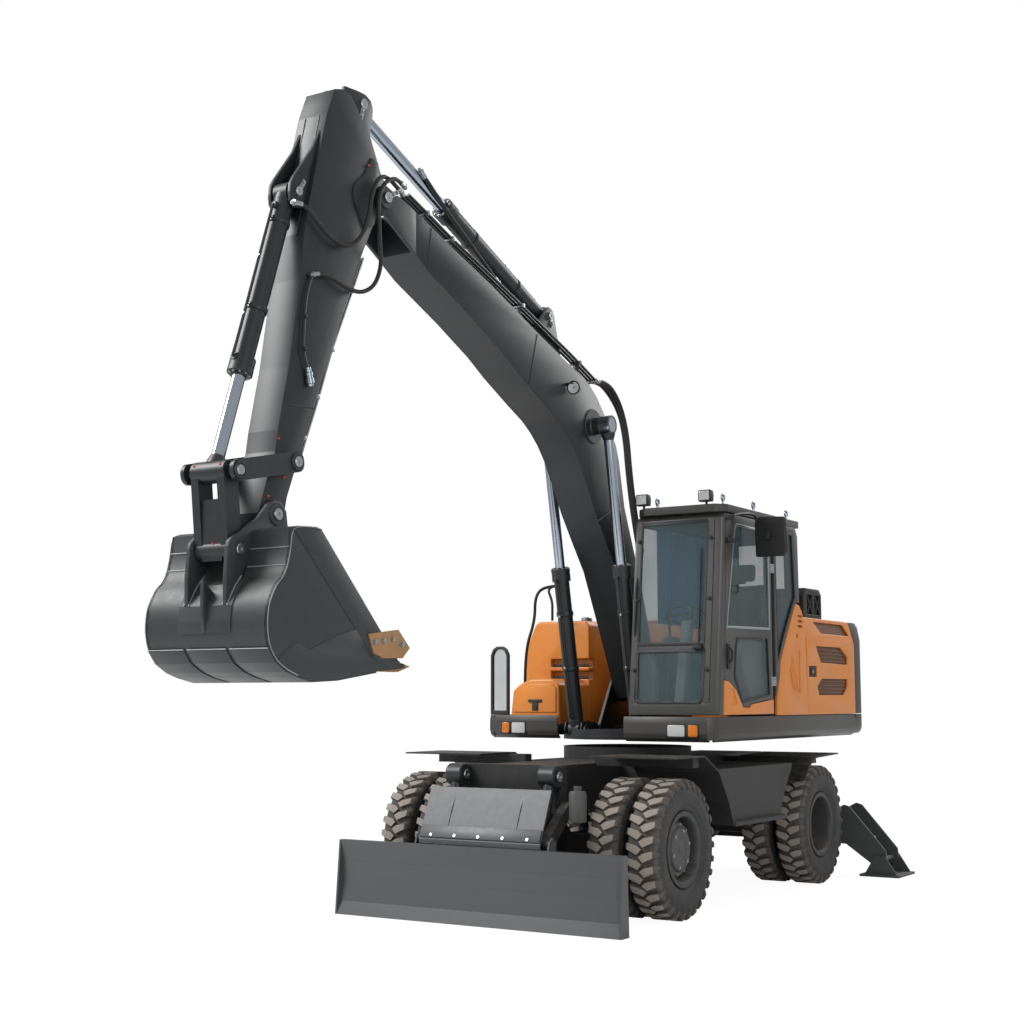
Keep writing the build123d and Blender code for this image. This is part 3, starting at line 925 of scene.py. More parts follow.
# ------------------------------------------------------------------ wheels
@dataclass
class Tyres:
    """Twin 10.00-20 traction tyres: a round carcass with two rows of chevron blocks."""

    radius: float = 529.5
    groove: float = 500.0
    lugs: int = 30
    spread: tuple[float, float] = (1122.0, 790.0)

    def build(self) -> None:
        """Make one tyre, then copy it to its eight places, two to a node."""
        pattern = joined([self._carcass(), self._row(1.0, 0.0), self._row(-1.0, 0.5)])
        for end, x in WHEEL_ENDS:
            for side, way in WHEEL_SIDES:
                places = [Matrix.Translation(at(x, way * y, AXLE_HEIGHT)) for y in self.spread]
                twin = pattern.copy()
                twin.data = pattern.data.copy()
                bpy.context.scene.collection.objects.link(twin)
                pair = copies(twin, places)
                self._paint(pair, at(x, 0, AXLE_HEIGHT))
                ready(pair, f"traction_tyres_{end}_{side}", f"wheel_{end}_{side}", Paint.RUBBER,
                      40.0, [f"tyres_{end}_{side}"])
        bpy.data.objects.remove(pattern)

    def _carcass(self) -> bpy.types.Object:
        """Turn the tyre's body with its beads and side ribs.

        Returns:
            The carcass, about the origin.
        """
        half = [(0, self.groove), (60, self.groove - 1), (98, self.groove - 5), (114, 486), (124, 468),
                (131, 444), (131, 440), (134, 436), (135, 400), (133, 368), (128, 340), (124, 338),
                (122, 330), (112, 308), (104, 298), (101, 300), (96, 296), (92, 284), (90, 266), (70, 262)]
        section = half + [(-v, r) for v, r in reversed(half)][:-1]
        return turned(section, Vector((0, 0, 0)), LEFT, 72)

    def _row(self, way: float, turn: float) -> bpy.types.Object:
        """Model one block, wrap it on the tread and spin it round.

        Args:
            way: 1 for the left row, -1 for the right.
            turn: share of a step that the row is turned by.

        Returns:
            The row of blocks.
        """
        foot = [(-14, -20), (22, -61), (104, -24), (104, 27), (22, 7)]
        block = start("circle", vertices=5, radius=1.0, fill_type="NGON")
        for vertex, (v, u) in zip(block.data.vertices, foot):
            vertex.co = (u * MM, v * way * MM, (self.groove - 8) * MM)
        edit(block)
        rise = (self.radius - self.groove + 8) * MM
        bpy.ops.mesh.extrude_region_move(TRANSFORM_OT_translate={"value": (0, 0, rise)})
        pick(block, lambda face: face.calc_center_median().y * way > 0.1)
        bpy.ops.mesh.extrude_region_move(TRANSFORM_OT_translate={"value": (0.001, way * 0.020, -0.016)})
        bpy.ops.transform.resize(value=(0.8, 1.0, 0.9), center_override=(0.0015, way * 0.124, 0.490))
        bpy.ops.mesh.extrude_region_move(TRANSFORM_OT_translate={"value": (0.0, way * 0.009, -0.034)})
        bpy.ops.transform.resize(value=(0.7, 1.0, 0.8), center_override=(0.0015, way * 0.133, 0.456))
        tidy()
        bpy.ops.mesh.bevel(offset=0.0022, segments=1, affect="EDGES")
        close()
        for vertex in block.data.vertices:
            spread, radius = vertex.co.x / 0.53, vertex.co.z
            vertex.co = (radius * math.cos(spread), vertex.co.y, radius * math.sin(spread))
        block.data.transform(Matrix.Rotation(-2 * math.pi * turn / self.lugs, 4, "Y"))
        edit(block)
        bpy.ops.mesh.spin(steps=self.lugs, angle=2 * math.pi, dupli=True, center=(0, 0, 0), axis=(0, 1, 0))
        tidy()
        close()
        return block

    def _paint(self, piece: bpy.types.Object, centre: Vector) -> None:
        """Give the worn block tops their own finish.

        Args:
            piece: the pair of tyres.
            centre: middle of the wheel.
        """
        for paint in (Paint.RUBBER, Paint.TREAD, Paint.GROOVE):
            piece.data.materials.append(finish_of(paint))
        for face in piece.data.polygons:
            out = math.hypot(face.center.x - centre.x, face.center.z - centre.z)
            flat = abs(face.normal.y)
            face.material_index = 1 if out > 0.521 and flat < 0.5 else 2 if out > 0.46 else 0


@dataclass
class Rims:
    """Three-piece steel rims: a flanged channel, a lock ring, a dished disc and the hub."""

    front_face: float = 1205.0
    rear_face: float = 1060.0
    nuts: int = 10

    def build(self) -> None:
        """Make the front and rear rims on both sides."""
        for end, x in WHEEL_ENDS:
            for side, way in WHEEL_SIDES:
                centre = at(x, 0, AXLE_HEIGHT)
                axis = LEFT * way
                body = f"wheel_{end}_{side}"
                shell = joined([self._channel(centre, axis), self._disc(centre, axis, end)])
                ready(shell, f"dished_rim_{end}_{side}", body, Paint.RIM, 40.0,
                      [f"rims_{end}_{side}"])
                ready(self._hub(centre, axis, end), f"hub_{end}_{side}", body, Paint.HUB, 40.0)
                ready(self._nuts(centre, axis, end), f"wheel_nuts_{end}_{side}", body, Paint.PIN)

    def _channel(self, centre: Vector, axis: Vector) -> bpy.types.Object:
        """Turn the two rim channels with their flanges and the lock ring.

        Args:
            centre: middle of the axle.
            axis: outboard.

        Returns:
            The channels.
        """
        section = [(677, 240), (677, 286), (684, 288), (690, 284), (690, 264), (700, 261), (885, 261),
                   (892, 266), (892, 286), (900, 288), (1010, 288), (1018, 286), (1020, 266), (1026, 261),
                   (1214, 261), (1222, 266), (1224, 284), (1230, 289), (1236, 286), (1238, 278), (1234, 268),
                   (1232, 258), (1234, 252), (1228, 246), (1206, 242), (1196, 239), (700, 238)]
        return turned(section, centre, axis, 56)

    def _disc(self, centre: Vector, axis: Vector, end: str) -> bpy.types.Object:
        """Turn the disc that carries the rim.

        Args:
            centre: middle of the axle.
            axis: outboard.
            end: front or rear.

        Returns:
            The disc.
        """
        face = 1100 if end == "front" else 1020
        return turned([(face, 90), (face, 186), (face + 12, 214), (face + 34, 239), (face + 20, 239),
                       (face - 4, 216), (face - 14, 188), (face - 14, 90)], centre, axis, 48)

    def _hub(self, centre: Vector, axis: Vector, end: str) -> bpy.types.Object:
        """Turn the hub: a broad planetary cover in front, a plain drum behind.

        Args:
            centre: middle of the axle.
            axis: outboard.
            end: front or rear.

        Returns:
            The hub.
        """
        if end == "front":
            face = self.front_face
            section = [(706, 0), (706, 150), (1070, 150), (1090, 205), (1150, 208), (1176, 202), (1182, 196),
                       (1184, 172), (1190, 166), (face - 8, 164), (face, 158), (face, 92), (face - 4, 88),
                       (face - 4, 30), (face, 26), (face, 0)]
        else:
            face = self.rear_face
            section = [(706, 0), (706, 150), (960, 150), (985, 164), (face - 10, 160), (face, 150),
                       (face, 84), (face - 12, 78), (face - 12, 0)]
        return turned(section, centre, axis, 48)

    def _nuts(self, centre: Vector, axis: Vector, end: str) -> bpy.types.Object:
        """Set the cover bolts and the wheel nuts.

        Args:
            centre: middle of the axle.
            axis: outboard.
            end: front or rear.

        Returns:
            The fasteners.
        """
        if end == "front":
            small = bolts(ring_spots(centre + axis * self.front_face * MM, axis, 138, 6), 22)
            large = bolts(ring_spots(centre + axis * 1.183, axis, 190, self.nuts, 0.5), 15)
            return joined([small, large])
        large = bolts(ring_spots(centre + axis * 1.020, axis, 188, self.nuts), 32)
        small = bolts(ring_spots(centre + axis * self.rear_face * MM, axis, 122, 8), 18)
        return joined([large, small])


# ------------------------------------------------------------------ digging gear
def pin_of(joint: str) -> Flat:
    """Give a joint's place in the machine's side view.

    Args:
        joint: its name.

    Returns:
        Forward and up in millimetres.
    """
    spot = next(j for j in frame["record"]["behaviour"]["joints"] if j["name"] == joint)["pos_m"]
    return (spot[0] - MID) * METRE, spot[2] * METRE


@dataclass(frozen=True)
class Pins:
    """Where the gear's pins are, as (x, z), and where the outlines were drawn about them."""

    foot: Flat = pin_of("boom_lift")
    tip: Flat = pin_of("arm_turn")
    lift_base: Flat = pin_of("boom_barrel_turn")
    lift_eye: Flat = (880, 3960)
    crowd_base: Flat = pin_of("arm_barrel_turn")
    crowd_eye: Flat = (4010, 5780)
    curl_base: Flat = pin_of("bucket_barrel_turn")
    bucket: Flat = pin_of("bucket_curl")
    rocker: Flat = pin_of("rocker_turn")
    rocker_top: Flat = pin_of("bucket_link_turn")
    link: Flat = (5270, 2560)


PIN = Pins()
DRAWN = Pins(foot=(-400, 1770), tip=(3625, 5222), lift_base=(142, 1397), lift_eye=(626, 3983),
             crowd_base=(1400, 4885), crowd_eye=(3690, 5878), curl_base=(4407, 5076), bucket=(4718, 2835),
             rocker=(4618, 3185), rocker_top=(5165, 3062), link=(5067, 2586))
TOP_MM = CAD_BOX[1][2] * METRE - 3
NOSE_MM = (CAD_BOX[1][0] - MID) * METRE - 3


@dataclass(frozen=True)
class Fit:
    """Moves a drawn outline so that each point goes with the pins nearest to it."""

    names: tuple[str, ...]

    def move(self, points: Sequence[Flat]) -> list[Flat]:
        """Set an outline on the real pins.

        Args:
            points: the outline as drawn.

        Returns:
            The outline on the machine.
        """
        done = []
        for x, z in points:
            share = {n: 1 / (60 + math.dist((x, z), getattr(DRAWN, n))) ** 3 for n in self.names}
            total = sum(share.values())
            dx = sum(s * (getattr(PIN, n)[0] - getattr(DRAWN, n)[0]) for n, s in share.items()) / total
            dz = sum(s * (getattr(PIN, n)[1] - getattr(DRAWN, n)[1]) for n, s in share.items()) / total
            done.append((min(x + dx, NOSE_MM), min(z + dz, TOP_MM)))
        return done

    def spot(self, x: float, z: float, dy: float) -> Vector:
        """Give the place of one drawn point.

        Args:
            x: forward.
            z: up.
            dy: left of the boom's middle.

        Returns:
            The place in metres.
        """
        (u, v), = self.move([(x, z)])
        return at(u, BOOM_Y + dy, v)


def both_sides(points: Sequence[Flat], inner: float, outer: float, bevel: float = 3.0,
               middle: float = BOOM_Y) -> list[bpy.types.Object]:
    """Cut the same plate left and right of a middle plane.

    Args:
        points: its outline as (x, z).
        inner: its inner face, counted from the middle.
        outer: its outer face.
        bevel: width of the broken edges.
        middle: where the middle plane is, the boom's unless given.

    Returns:
        The two plates.
    """
    made = []
    for way in (1, -1):
        y0, y1 = sorted((middle + way * inner, middle + way * outer))
        made.append(plate(points, "y", y0, y1, bevel))
    return made


def both_ends(section: Sequence[Flat], pin: Flat, steps: int = 36) -> list[bpy.types.Object]:
    """Turn the same ring or boss on both sides of a pin.

    Args:
        section: closed outline as (from the boom's middle, radius).
        pin: the pin's place.
        steps: steps round the turn.

    Returns:
        The two turned pieces.
    """
    return [turned(section, at(pin[0], BOOM_Y, pin[1]), LEFT * way, steps) for way in (1, -1)]


def shaft(pin: Flat, half: float, radius: float) -> bpy.types.Object:
    """Turn a plain cross pin.

    Args:
        pin: the pin's place.
        half: half of its length.
        radius: its radius.

    Returns:
        The pin.
    """
    return turned([(-half, 0), (-half, radius), (half, radius), (half, 0)], at(pin[0], BOOM_Y, pin[1]), LEFT,
                  28)


def both_pins(pins: Sequence[tuple[Flat, float, float]]) -> bpy.types.Object:
    """Turn the heads at both ends of several cross pins.

    Args:
        pins: (place, half length, head radius) of each.

    Returns:
        All the heads.
    """
    made = []
    for (x, z), half, radius in pins:
        for way in (1, -1):
            made.append(pin_end(at(x, BOOM_Y + way * half, z), LEFT * way, radius))
    return joined(made)


def keeper(pin: Flat, half: float, radius: float, turn: float, length: float = 118.0) -> bpy.types.Object:
    """Bolt a flat keeper bar across both ends of a pin.

    Args:
        pin: the pin's place.
        half: half of the pin's length.
        radius: the pin's radius.
        turn: direction of the bar from the pin, in degrees.
        length: its length.

    Returns:
        The two bars with their bolts.
    """
    cos, sin = math.cos(math.radians(turn)), math.sin(math.radians(turn))
    near, far = radius * 0.55, radius * 0.55 + length
    ends = [(pin[0] + cos * a - sin * b, pin[1] + sin * a + cos * b)
            for a, b in ((near, -17), (far, -17), (far, 17), (near, 17))]
    spots = [(at(pin[0] + cos * a, BOOM_Y + way * (half + 4), pin[1] + sin * a), LEFT * way)
             for way in (1, -1) for a in (radius + 26, far - 20)]
    return joined([*both_sides(ends, half - 12, half + 4, 2.5), bolts(spots, 22)])


@dataclass
class Ram:
    """One hydraulic cylinder or a pair: gland and bolts, bands, ports, steel pipe, eye welds.

    lines are the cylinders' y; length, radius and collar are the barrel's; bar is the rod's radius.
    """

    name: str
    barrel: str
    rod: str
    lines: tuple[float, ...]
    base: Flat
    eye: Flat
    length: float
    radius: float
    collar: float
    bar: float
    eye_radius: float
    eye_half: float
    pipe_turn: float = 1.0
    bands: tuple[float, ...] = (420.0,)

    def build(self) -> None:
        """Make the cylinder's fine parts on the barrel and on the rod."""
        self.along = (at(self.eye[0], 0, self.eye[1]) - at(self.base[0], 0, self.base[1])).normalized()
        self.off = Vector((-self.along.z, 0, self.along.x)) * self.pipe_turn
        dark, steel, rods = [], [], []
        for y in self.lines:
            dark += self._gland(y) + self._pipe(y)
            steel += self._bolts(y)
            rods += self._eye(y)
        ready(joined(dark), f"{self.name}_gland_and_pipe", self.barrel, Paint.CHARCOAL)
        ready(joined(steel), f"{self.name}_bolts", self.barrel, Paint.PIN)
        ready(joined(rods), f"{self.name}_rod_eye", self.rod, Paint.CHARCOAL)

    def _spot(self, along: float, off: float, y: float) -> Vector:
        """Give a place on one cylinder.

        Args:
            along: distance from the base pin along the axis.
            off: distance from the axis, on the pipe's side.
            y: the cylinder's line.

        Returns:
            The place in metres.
        """
        return at(self.base[0], y, self.base[1]) + self.along * along * MM + self.off * off * MM

    def _gland(self, y: float) -> list[bpy.types.Object]:
        """Turn the gland, the bands and the weld at the base.

        Args:
            y: the cylinder's line.

        Returns:
            The dark pieces.
        """
        outer, length = self.radius + self.collar, self.length
        head = [(length - 96, self.radius - 2), (length - 96, outer + 1), (length - 40, outer + 1),
                (length - 36, outer - 5), (length - 26, outer - 5), (length - 22, outer + 2),
                (length + 12, outer + 2), (length + 18, outer - 4), (length + 18, self.bar + 12),
                (length + 26, self.bar + 9), (length + 26, self.bar + 2), (length - 2, self.bar + 2),
                (length - 2, self.radius - 2)]
        made = [turned(head, self._spot(0, 0, y), self.along, 40)]
        for band in self.bands:
            strap = [(band, self.radius - 1), (band, self.radius + 6), (band + 5, self.radius + 8),
                     (band + 33, self.radius + 8), (band + 38, self.radius + 6), (band + 38, self.radius - 1)]
            made.append(turned(strap, self._spot(0, 0, y), self.along, 36))
        foot = self.eye_radius * 0.9
        weld = [(foot - 6, self.radius - 20), (foot + 4, self.radius + 1), (foot + 16, self.radius + 2),
                (foot + 26, self.radius - 2), (foot + 26, self.radius - 20)]
        made.append(turned(weld, self._spot(0, 0, y), self.along, 36))
        return made

    def _pipe(self, y: float) -> list[bpy.types.Object]:
        """Run the steel pipe from the base port to the gland port.

        Args:
            y: the cylinder's line.

        Returns:
            The pipe and its ports.
        """
        low, high, out = 130.0, self.length - 70, self.radius + 26
        path = ((low, self.radius - 6), (low, out - 4), (low + 30, out), (high - 40, out),
                (high, out + self.collar - 6), (high + 4, self.radius + self.collar - 4))
        made = [tube([self._spot(along, off, y) for along, off in path], 9.5, 2, 6)]
        for place in (low, high + 2):
            made.append(turned([(0, 0), (0, 24), (26, 24), (32, 18), (32, 0)],
                               self._spot(place, self.radius - 10, y), self.off, 6))
        return made

    def _bolts(self, y: float) -> list[bpy.types.Object]:
        """Set the gland bolts, the band bolts and the pipe clamps.

        Args:
            y: the cylinder's line.

        Returns:
            The bolts.
        """
        ring = (self.bar + self.radius + self.collar) / 2 + 3
        spots = ring_spots(self._spot(self.length + 18, 0, y), self.along, ring, 10)
        for band in self.bands:
            spots.append((self._spot(band + 19, self.radius + 8, y), self.off))
        for share in (0.4, 0.72):
            spots.append((self._spot(self.length * share, self.radius + 34, y), self.off))
        return [bolts(spots, 15)]

    def _eye(self, y: float) -> list[bpy.types.Object]:
        """Turn the weld between rod and eye, and the eye's two rims.

        Args:
            y: the cylinder's line.

        Returns:
            The weld and the rims.
        """
        reach = math.dist(self.base, self.eye)
        start_at = reach - self.eye_radius
        neck = [(start_at - 46, self.bar - 4), (start_at - 46, self.bar + 1), (start_at - 8, self.bar + 16),
                (start_at + 18, self.bar + 18), (start_at + 18, self.bar - 4)]
        made = [turned(neck, self._spot(0, 0, y), self.along, 32)]
        for way in (1, -1):
            rim = [(self.eye_half - 12, self.eye_radius - 16), (self.eye_half - 12, self.eye_radius - 3),
                   (self.eye_half - 2, self.eye_radius - 3), (self.eye_half + 2, self.eye_radius - 7),
                   (self.eye_half + 2, self.eye_radius - 16)]
            made.append(turned(rim, self._spot(reach, 0, y), LEFT * way, 36))
        return made


@dataclass
class Boom:
    """Box boom: side plates, welded tip cheeks, pipes on stand-offs and the work lamp."""

    half: float = 165.0
    fit: Fit = Fit(("foot", "tip", "lift_eye", "crowd_base"))
    outline: tuple[Flat, ...] = (
        (3275, 5225), (3164, 5192), (2823, 5075), (2308, 4900), (1641, 4660), (1224, 4523), (1007, 4450),
        (830, 4400), (700, 4340), (560, 4250), (440, 4130), (320, 4010), (220, 3870), (170, 3740),
        (140, 3600), (85, 3350), (-190, 2700), (-500, 1850), (-520, 1770), (-480, 1680), (-400, 1650),
        (-320, 1680), (-280, 1762), (-25, 2253), (251, 2785), (425, 3010), (616, 3260), (804, 3550),
        (900, 3685), (1008, 3800), (1140, 3900), (1289, 3985), (1556, 4100), (1927, 4270), (2174, 4404),
        (2569, 4589), (3065, 4800), (3231, 4894), (3275, 4920))
    cheek: tuple[Flat, ...] = (
        (3255, 5219), (3351, 5250), (3601, 5308), (3660, 5301), (3700, 5264), (3712, 5215), (3704, 5165),
        (3686, 5134), (3301, 4932), (3255, 4908))
    bracket: tuple[Flat, ...] = (
        (1150, 4470), (1320, 4900), (1350, 4945), (1410, 4958), (1460, 4930), (1700, 4660))

    def build(self) -> None:
        """Make the boom's steel, then its fittings."""
        low, high = BOOM_Y - self.half, BOOM_Y + self.half
        shell = [self._box(low, high), *self._bosses()]
        for points, inner, outer in ((self.cheek, self.half - 26, self.half + 1), (self.bracket, 82, 104)):
            shell += both_sides(self.fit.move(points), inner, outer)
        ready(joined(shell), "boom_shell", "boom", Paint.CHARCOAL, 30.0, ["boom"])
        heads = both_pins([(PIN.tip, 188, 40), (PIN.crowd_base, 113, 34)])
        bars = joined([keeper(PIN.tip, 190, 40, 150), keeper(PIN.crowd_base, 110, 34, 250, 80)])
        ready(joined([heads, bars]), "boom_pins", "boom", Paint.PIN)
        self._pipes()
        self._welds()
        self._lamp()

    def _box(self, low: float, high: float) -> bpy.types.Object:
        """Make the box section from its core, two side plates and their inner rims.

        Args:
            low: the right face.
            high: the left face.

        Returns:
            The box.
        """
        core = plate(self.fit.move(self.outline), "y", low + 26, high - 26, 0)
        sides = []
        for y0, y1 in ((low, low + 14), (high - 14, high)):
            sides.append(plate(self.fit.move(self.outline), "y", y0, y1, 2))
        edit(core)
        bpy.ops.mesh.select_mode(type="FACE")
        pick(core, lambda face: abs(face.normal.y) > 0.9)
        bpy.ops.mesh.inset(thickness=0.009, depth=0)
        close()
        rims = [plate(self.fit.move(self.outline), "y", low + 13, low + 27, 0),
                plate(self.fit.move(self.outline), "y", high - 27, high - 13, 0)]
        return joined([core, *sides, *rims])

    def _bosses(self) -> list[bpy.types.Object]:
        """Turn the tip, lift-tube and foot bosses of both sides.

        Returns:
            The bosses.
        """
        half = self.half
        disc = [(half - 4, 0), (half - 4, 150), (half + 6, 150), (half + 10, 146), (half + 10, 0)]
        sleeve = [(half, 0), (half, 84), (half + 14, 78), (half + 22, 72), (half + 68, 72), (half + 68, 0)]
        made = both_ends(disc, PIN.lift_eye, 48) + both_ends(sleeve, PIN.lift_eye, 40)
        for pin, radius in ((PIN.tip, 80), (PIN.foot, 92)):
            made += both_ends([(half - 6, 0), (half - 6, radius), (half + 12, radius),
                               (half + 18, radius - 6), (half + 18, 0)], pin, 40)
        return made

    def _pipes(self) -> None:
        """Run three steel pipes and their clamps above the top plate."""
        pipes, clamps, stands = [], [], []
        line = ((3330, 5330), (3100, 5255), (2796, 5142), (2200, 4952), (1567, 4744), (906, 4530),
                (560, 4400))
        for dy in (150, 116, 82):
            pipes.append(tube([self.fit.spot(x, z, dy) for x, z in line], 12, 2, 6))
        for x, z, drop in ((3100, 5255, 92), (2796, 5142, 76), (1900, 4851, 96), (906, 4530, 112)):
            (u, v), = self.fit.move([(x, z)])
            clamps.append(slab((u - 20, BOOM_Y + 62, v - 17), (u + 20, BOOM_Y + 172, v + 17), 4))
            stands.append(slab((u - 12, BOOM_Y + 90, v - drop), (u + 12, BOOM_Y + 140, v - 12), 2))
        ready(joined(pipes), "boom_pipes", "boom", Paint.CHARCOAL)
        ready(joined(clamps), "boom_pipe_clamps", "boom", Paint.PIN)
        ready(joined(stands), "boom_pipe_stands", "boom", Paint.CHARCOAL)

    def _welds(self) -> None:
        """Lay the cross seams on the side plates."""
        made = []
        for way in (1, -1):
            for a, b in (((3067, 5150), (3113, 4830)), ((1690, 4660), (1786, 4220)),
                         ((105, 3400), (560, 3190))):
                made.append(bead([self.fit.spot(*a, way * self.half), self.fit.spot(*b, way * self.half)], 4))
        ready(joined(made), "boom_weld_seams", "boom", Paint.CHARCOAL)

    def _lamp(self) -> None:
        """Hang the work lamp on the left side plate."""
        centre = self.fit.spot(1130, 4262, self.half + 66)
        ahead = Vector((1.0, 0.12, -0.12)).normalized()
        body = turned([(-62, 0), (-60, 26), (-46, 44), (-8, 56), (6, 58), (10, 54), (10, 50), (0, 48)],
                      centre, ahead, 32)
        (u, v), = self.fit.move([(1130, 4262)])
        arm = slab((u - 30, BOOM_Y + self.half - 2, v + 30), (u + 18, BOOM_Y + self.half + 70, v + 42), 2)
        stem = slab((u - 14, BOOM_Y + self.half + 58, v - 4), (u + 2, BOOM_Y + self.half + 72, v + 40), 2)
        ready(joined([body, arm, stem]), "boom_lamp_housing", "boom", Paint.BLACK)
        lens = turned([(0, 0), (4, 20), (8, 47), (0, 48)], centre, ahead, 32)
        ready(lens, "boom_lamp_lens", "boom", Paint.LENS)


@dataclass
class Arm:
    """Arm: tapered box, head plates for the crowd cylinder, ears for the curl cylinder, pipes."""

    half: float = 125.0
    fit: Fit = Fit(("tip", "crowd_eye", "curl_base", "bucket", "rocker"))
    outline: tuple[Flat, ...] = (
        (3608, 5394), (3665, 5643), (3673, 5669), (3871, 5869), (3952, 5893), (4060, 5860), (4102, 5774),
        (4156, 5664), (4310, 5074), (4372, 4799), (4419, 4471), (4591, 3822), (4704, 3386), (4728, 3246),
        (4780, 3103), (4846, 2837), (4835, 2760), (4785, 2722), (4718, 2708), (4652, 2722), (4605, 2775),
        (4597, 2887), (4589, 2963), (4481, 3279), (4312, 3664), (4115, 4054), (3911, 4515), (3794, 4801),
        (3679, 5054), (3590, 5110), (3520, 5170), (3500, 5240), (3530, 5320))
    head: tuple[Flat, ...] = (
        (3903, 5940), (3740, 5960), (3664, 5955), (3605, 5930), (3580, 5880), (3585, 5820), (3640, 5640),
        (3700, 5620), (3900, 5800))
    ear: tuple[Flat, ...] = (
        (4106, 5693), (4268, 5409), (4440, 5178), (4474, 5120), (4478, 5060), (4470, 5000), (4430, 4960),
        (4310, 4990), (4200, 5400), (4090, 5690))
    doubler: tuple[Flat, ...] = (
        (3640, 5470), (3710, 5487), (3806, 5347), (3900, 5264), (3924, 5202), (3890, 5100), (3800, 4960),
        (3700, 5010), (3650, 5200))

    def build(self) -> None:
        """Make the arm's steel, then its pins and pipes."""
        low, high = BOOM_Y - self.half, BOOM_Y + self.half
        shell = [plate(self.fit.move(self.outline), "y", low, high, 3)]
        for points, inner, outer in ((self.head, 62, 92), (self.ear, 72, 98),
                                     (self.doubler, self.half - 2, self.half + 9)):
            shell += both_sides(self.fit.move(points), inner, outer)
        for pin, radius, reach in ((PIN.rocker, 66, 60), (PIN.bucket, 92, 10)):
            shell += both_ends([(self.half - 8, 0), (self.half - 8, radius), (self.half + reach - 8, radius),
                                (self.half + reach, radius - 8), (self.half + reach, 0)], pin, 40)
        ready(joined(shell), "arm_shell", "arm", Paint.CHARCOAL, 30.0, ["arm"])
        self._pins()
        self._pipes()
        self._ribs()

    def _pins(self) -> None:
        """Set the cross pins, their heads and keepers."""
        shafts = [shaft(PIN.crowd_eye, 96, 36), shaft(PIN.curl_base, 108, 30), shaft(PIN.rocker, 218, 33)]
        heads = both_pins([(PIN.crowd_eye, 94, 38), (PIN.curl_base, 104, 32), (PIN.rocker, 216, 36)])
        bars = [keeper(PIN.crowd_eye, 94, 38, 285, 100), keeper(PIN.curl_base, 102, 32, 125, 92)]
        ready(joined([*shafts, heads, *bars]), "arm_pins", "arm", Paint.PIN)
        caps = [dot(self.fit.spot(x, z, self.half + up), LEFT) for x, z, up in
                ((3760, 5420, 9), (4640, 3090, 0), (4760, 2950, 0), (4700, 3330, 0))]
        ready(joined(caps), "arm_grease_caps", "arm", Paint.CAP)

    def _pipes(self) -> None:
        """Run two thin pipes and their clamps down the arm's back edge."""
        line = ((3790, 4770), (3981, 4330), (4143, 4020), (4300, 3660), (4451, 3330), (4500, 3200))
        pipes = [tube([self.fit.spot(x - 16, z - 6, dy) for x, z in line], 8, 2, 6) for dy in (112, 90)]
        ready(joined(pipes), "arm_pipes", "arm", Paint.PIN)
        blocks = []
        for x, z in ((3905, 4505), (4120, 4040), (4300, 3670), (4440, 3370)):
            (u, v), = self.fit.move([(x, z)])
            blocks.append(slab((u - 26, BOOM_Y + 76, v - 16), (u + 14, BOOM_Y + 124, v + 16), 4))
        ready(joined(blocks), "arm_pipe_clamps", "arm", Paint.PIN)

    def _ribs(self) -> None:
        """Lay the gusset ribs on the arm's front face and the weld seams on its sides."""
        made = []
        for way in (1, -1):
            made.append(bead([self.fit.spot(x, z, way * (self.half + 1))
                              for x, z in ((3640, 5470), (3710, 5487), (3806, 5347), (3900, 5264),
                                           (3924, 5202), (3890, 5100), (3800, 4960))], 5))
            made.append(bead([self.fit.spot(x, z, way * 60) for x, z in
                              ((4158, 5660), (4235, 5370), (4312, 5074), (4374, 4799))], 6))
            made.append(bead([self.fit.spot(4350, 3580, way * self.half),
                              self.fit.spot(4655, 3560, way * self.half)], 3.5))
        ready(joined(made), "arm_weld_seams", "arm", Paint.CHARCOAL)


@dataclass
class Linkage:
    """Curl linkage: two rocker plates and the H-shaped bucket link."""

    tube_half: float = 138.0

    def build(self) -> None:
        """Dress the rocker and the link."""
        collar = [(212, 38), (212, 58), (220, 58), (224, 53), (224, 38)]
        rims = both_ends(collar, PIN.rocker) + both_ends(collar, PIN.rocker_top)
        ready(joined(rims), "rocker_collars", "bucket_rocker", Paint.CHARCOAL)
        heads = both_pins([(PIN.rocker_top, 210, 34)])
        ready(heads, "rocker_pin_heads", "bucket_rocker", Paint.PIN)
        half = self.tube_half
        tube_section = [(-half, 56), (-half, 66), (-half + 5, 70), (half - 5, 70), (half, 66), (half, 56)]
        tubes = [turned(tube_section, at(pin[0], BOOM_Y, pin[1]), LEFT, 40)
                 for pin in (PIN.rocker_top, PIN.link)]
        ready(joined(tubes), "link_bosses", "bucket_link", Paint.CHARCOAL)
        caps = [dot(at(pin[0] + 60, BOOM_Y + dy, pin[1] + 36), Vector((0.86, 0, 0.5)), 8)
                for pin, dy in ((PIN.rocker_top, 106), (PIN.rocker_top, -106), (PIN.link, 10))]
        ready(joined(caps), "link_grease_caps", "bucket_link", Paint.CAP)


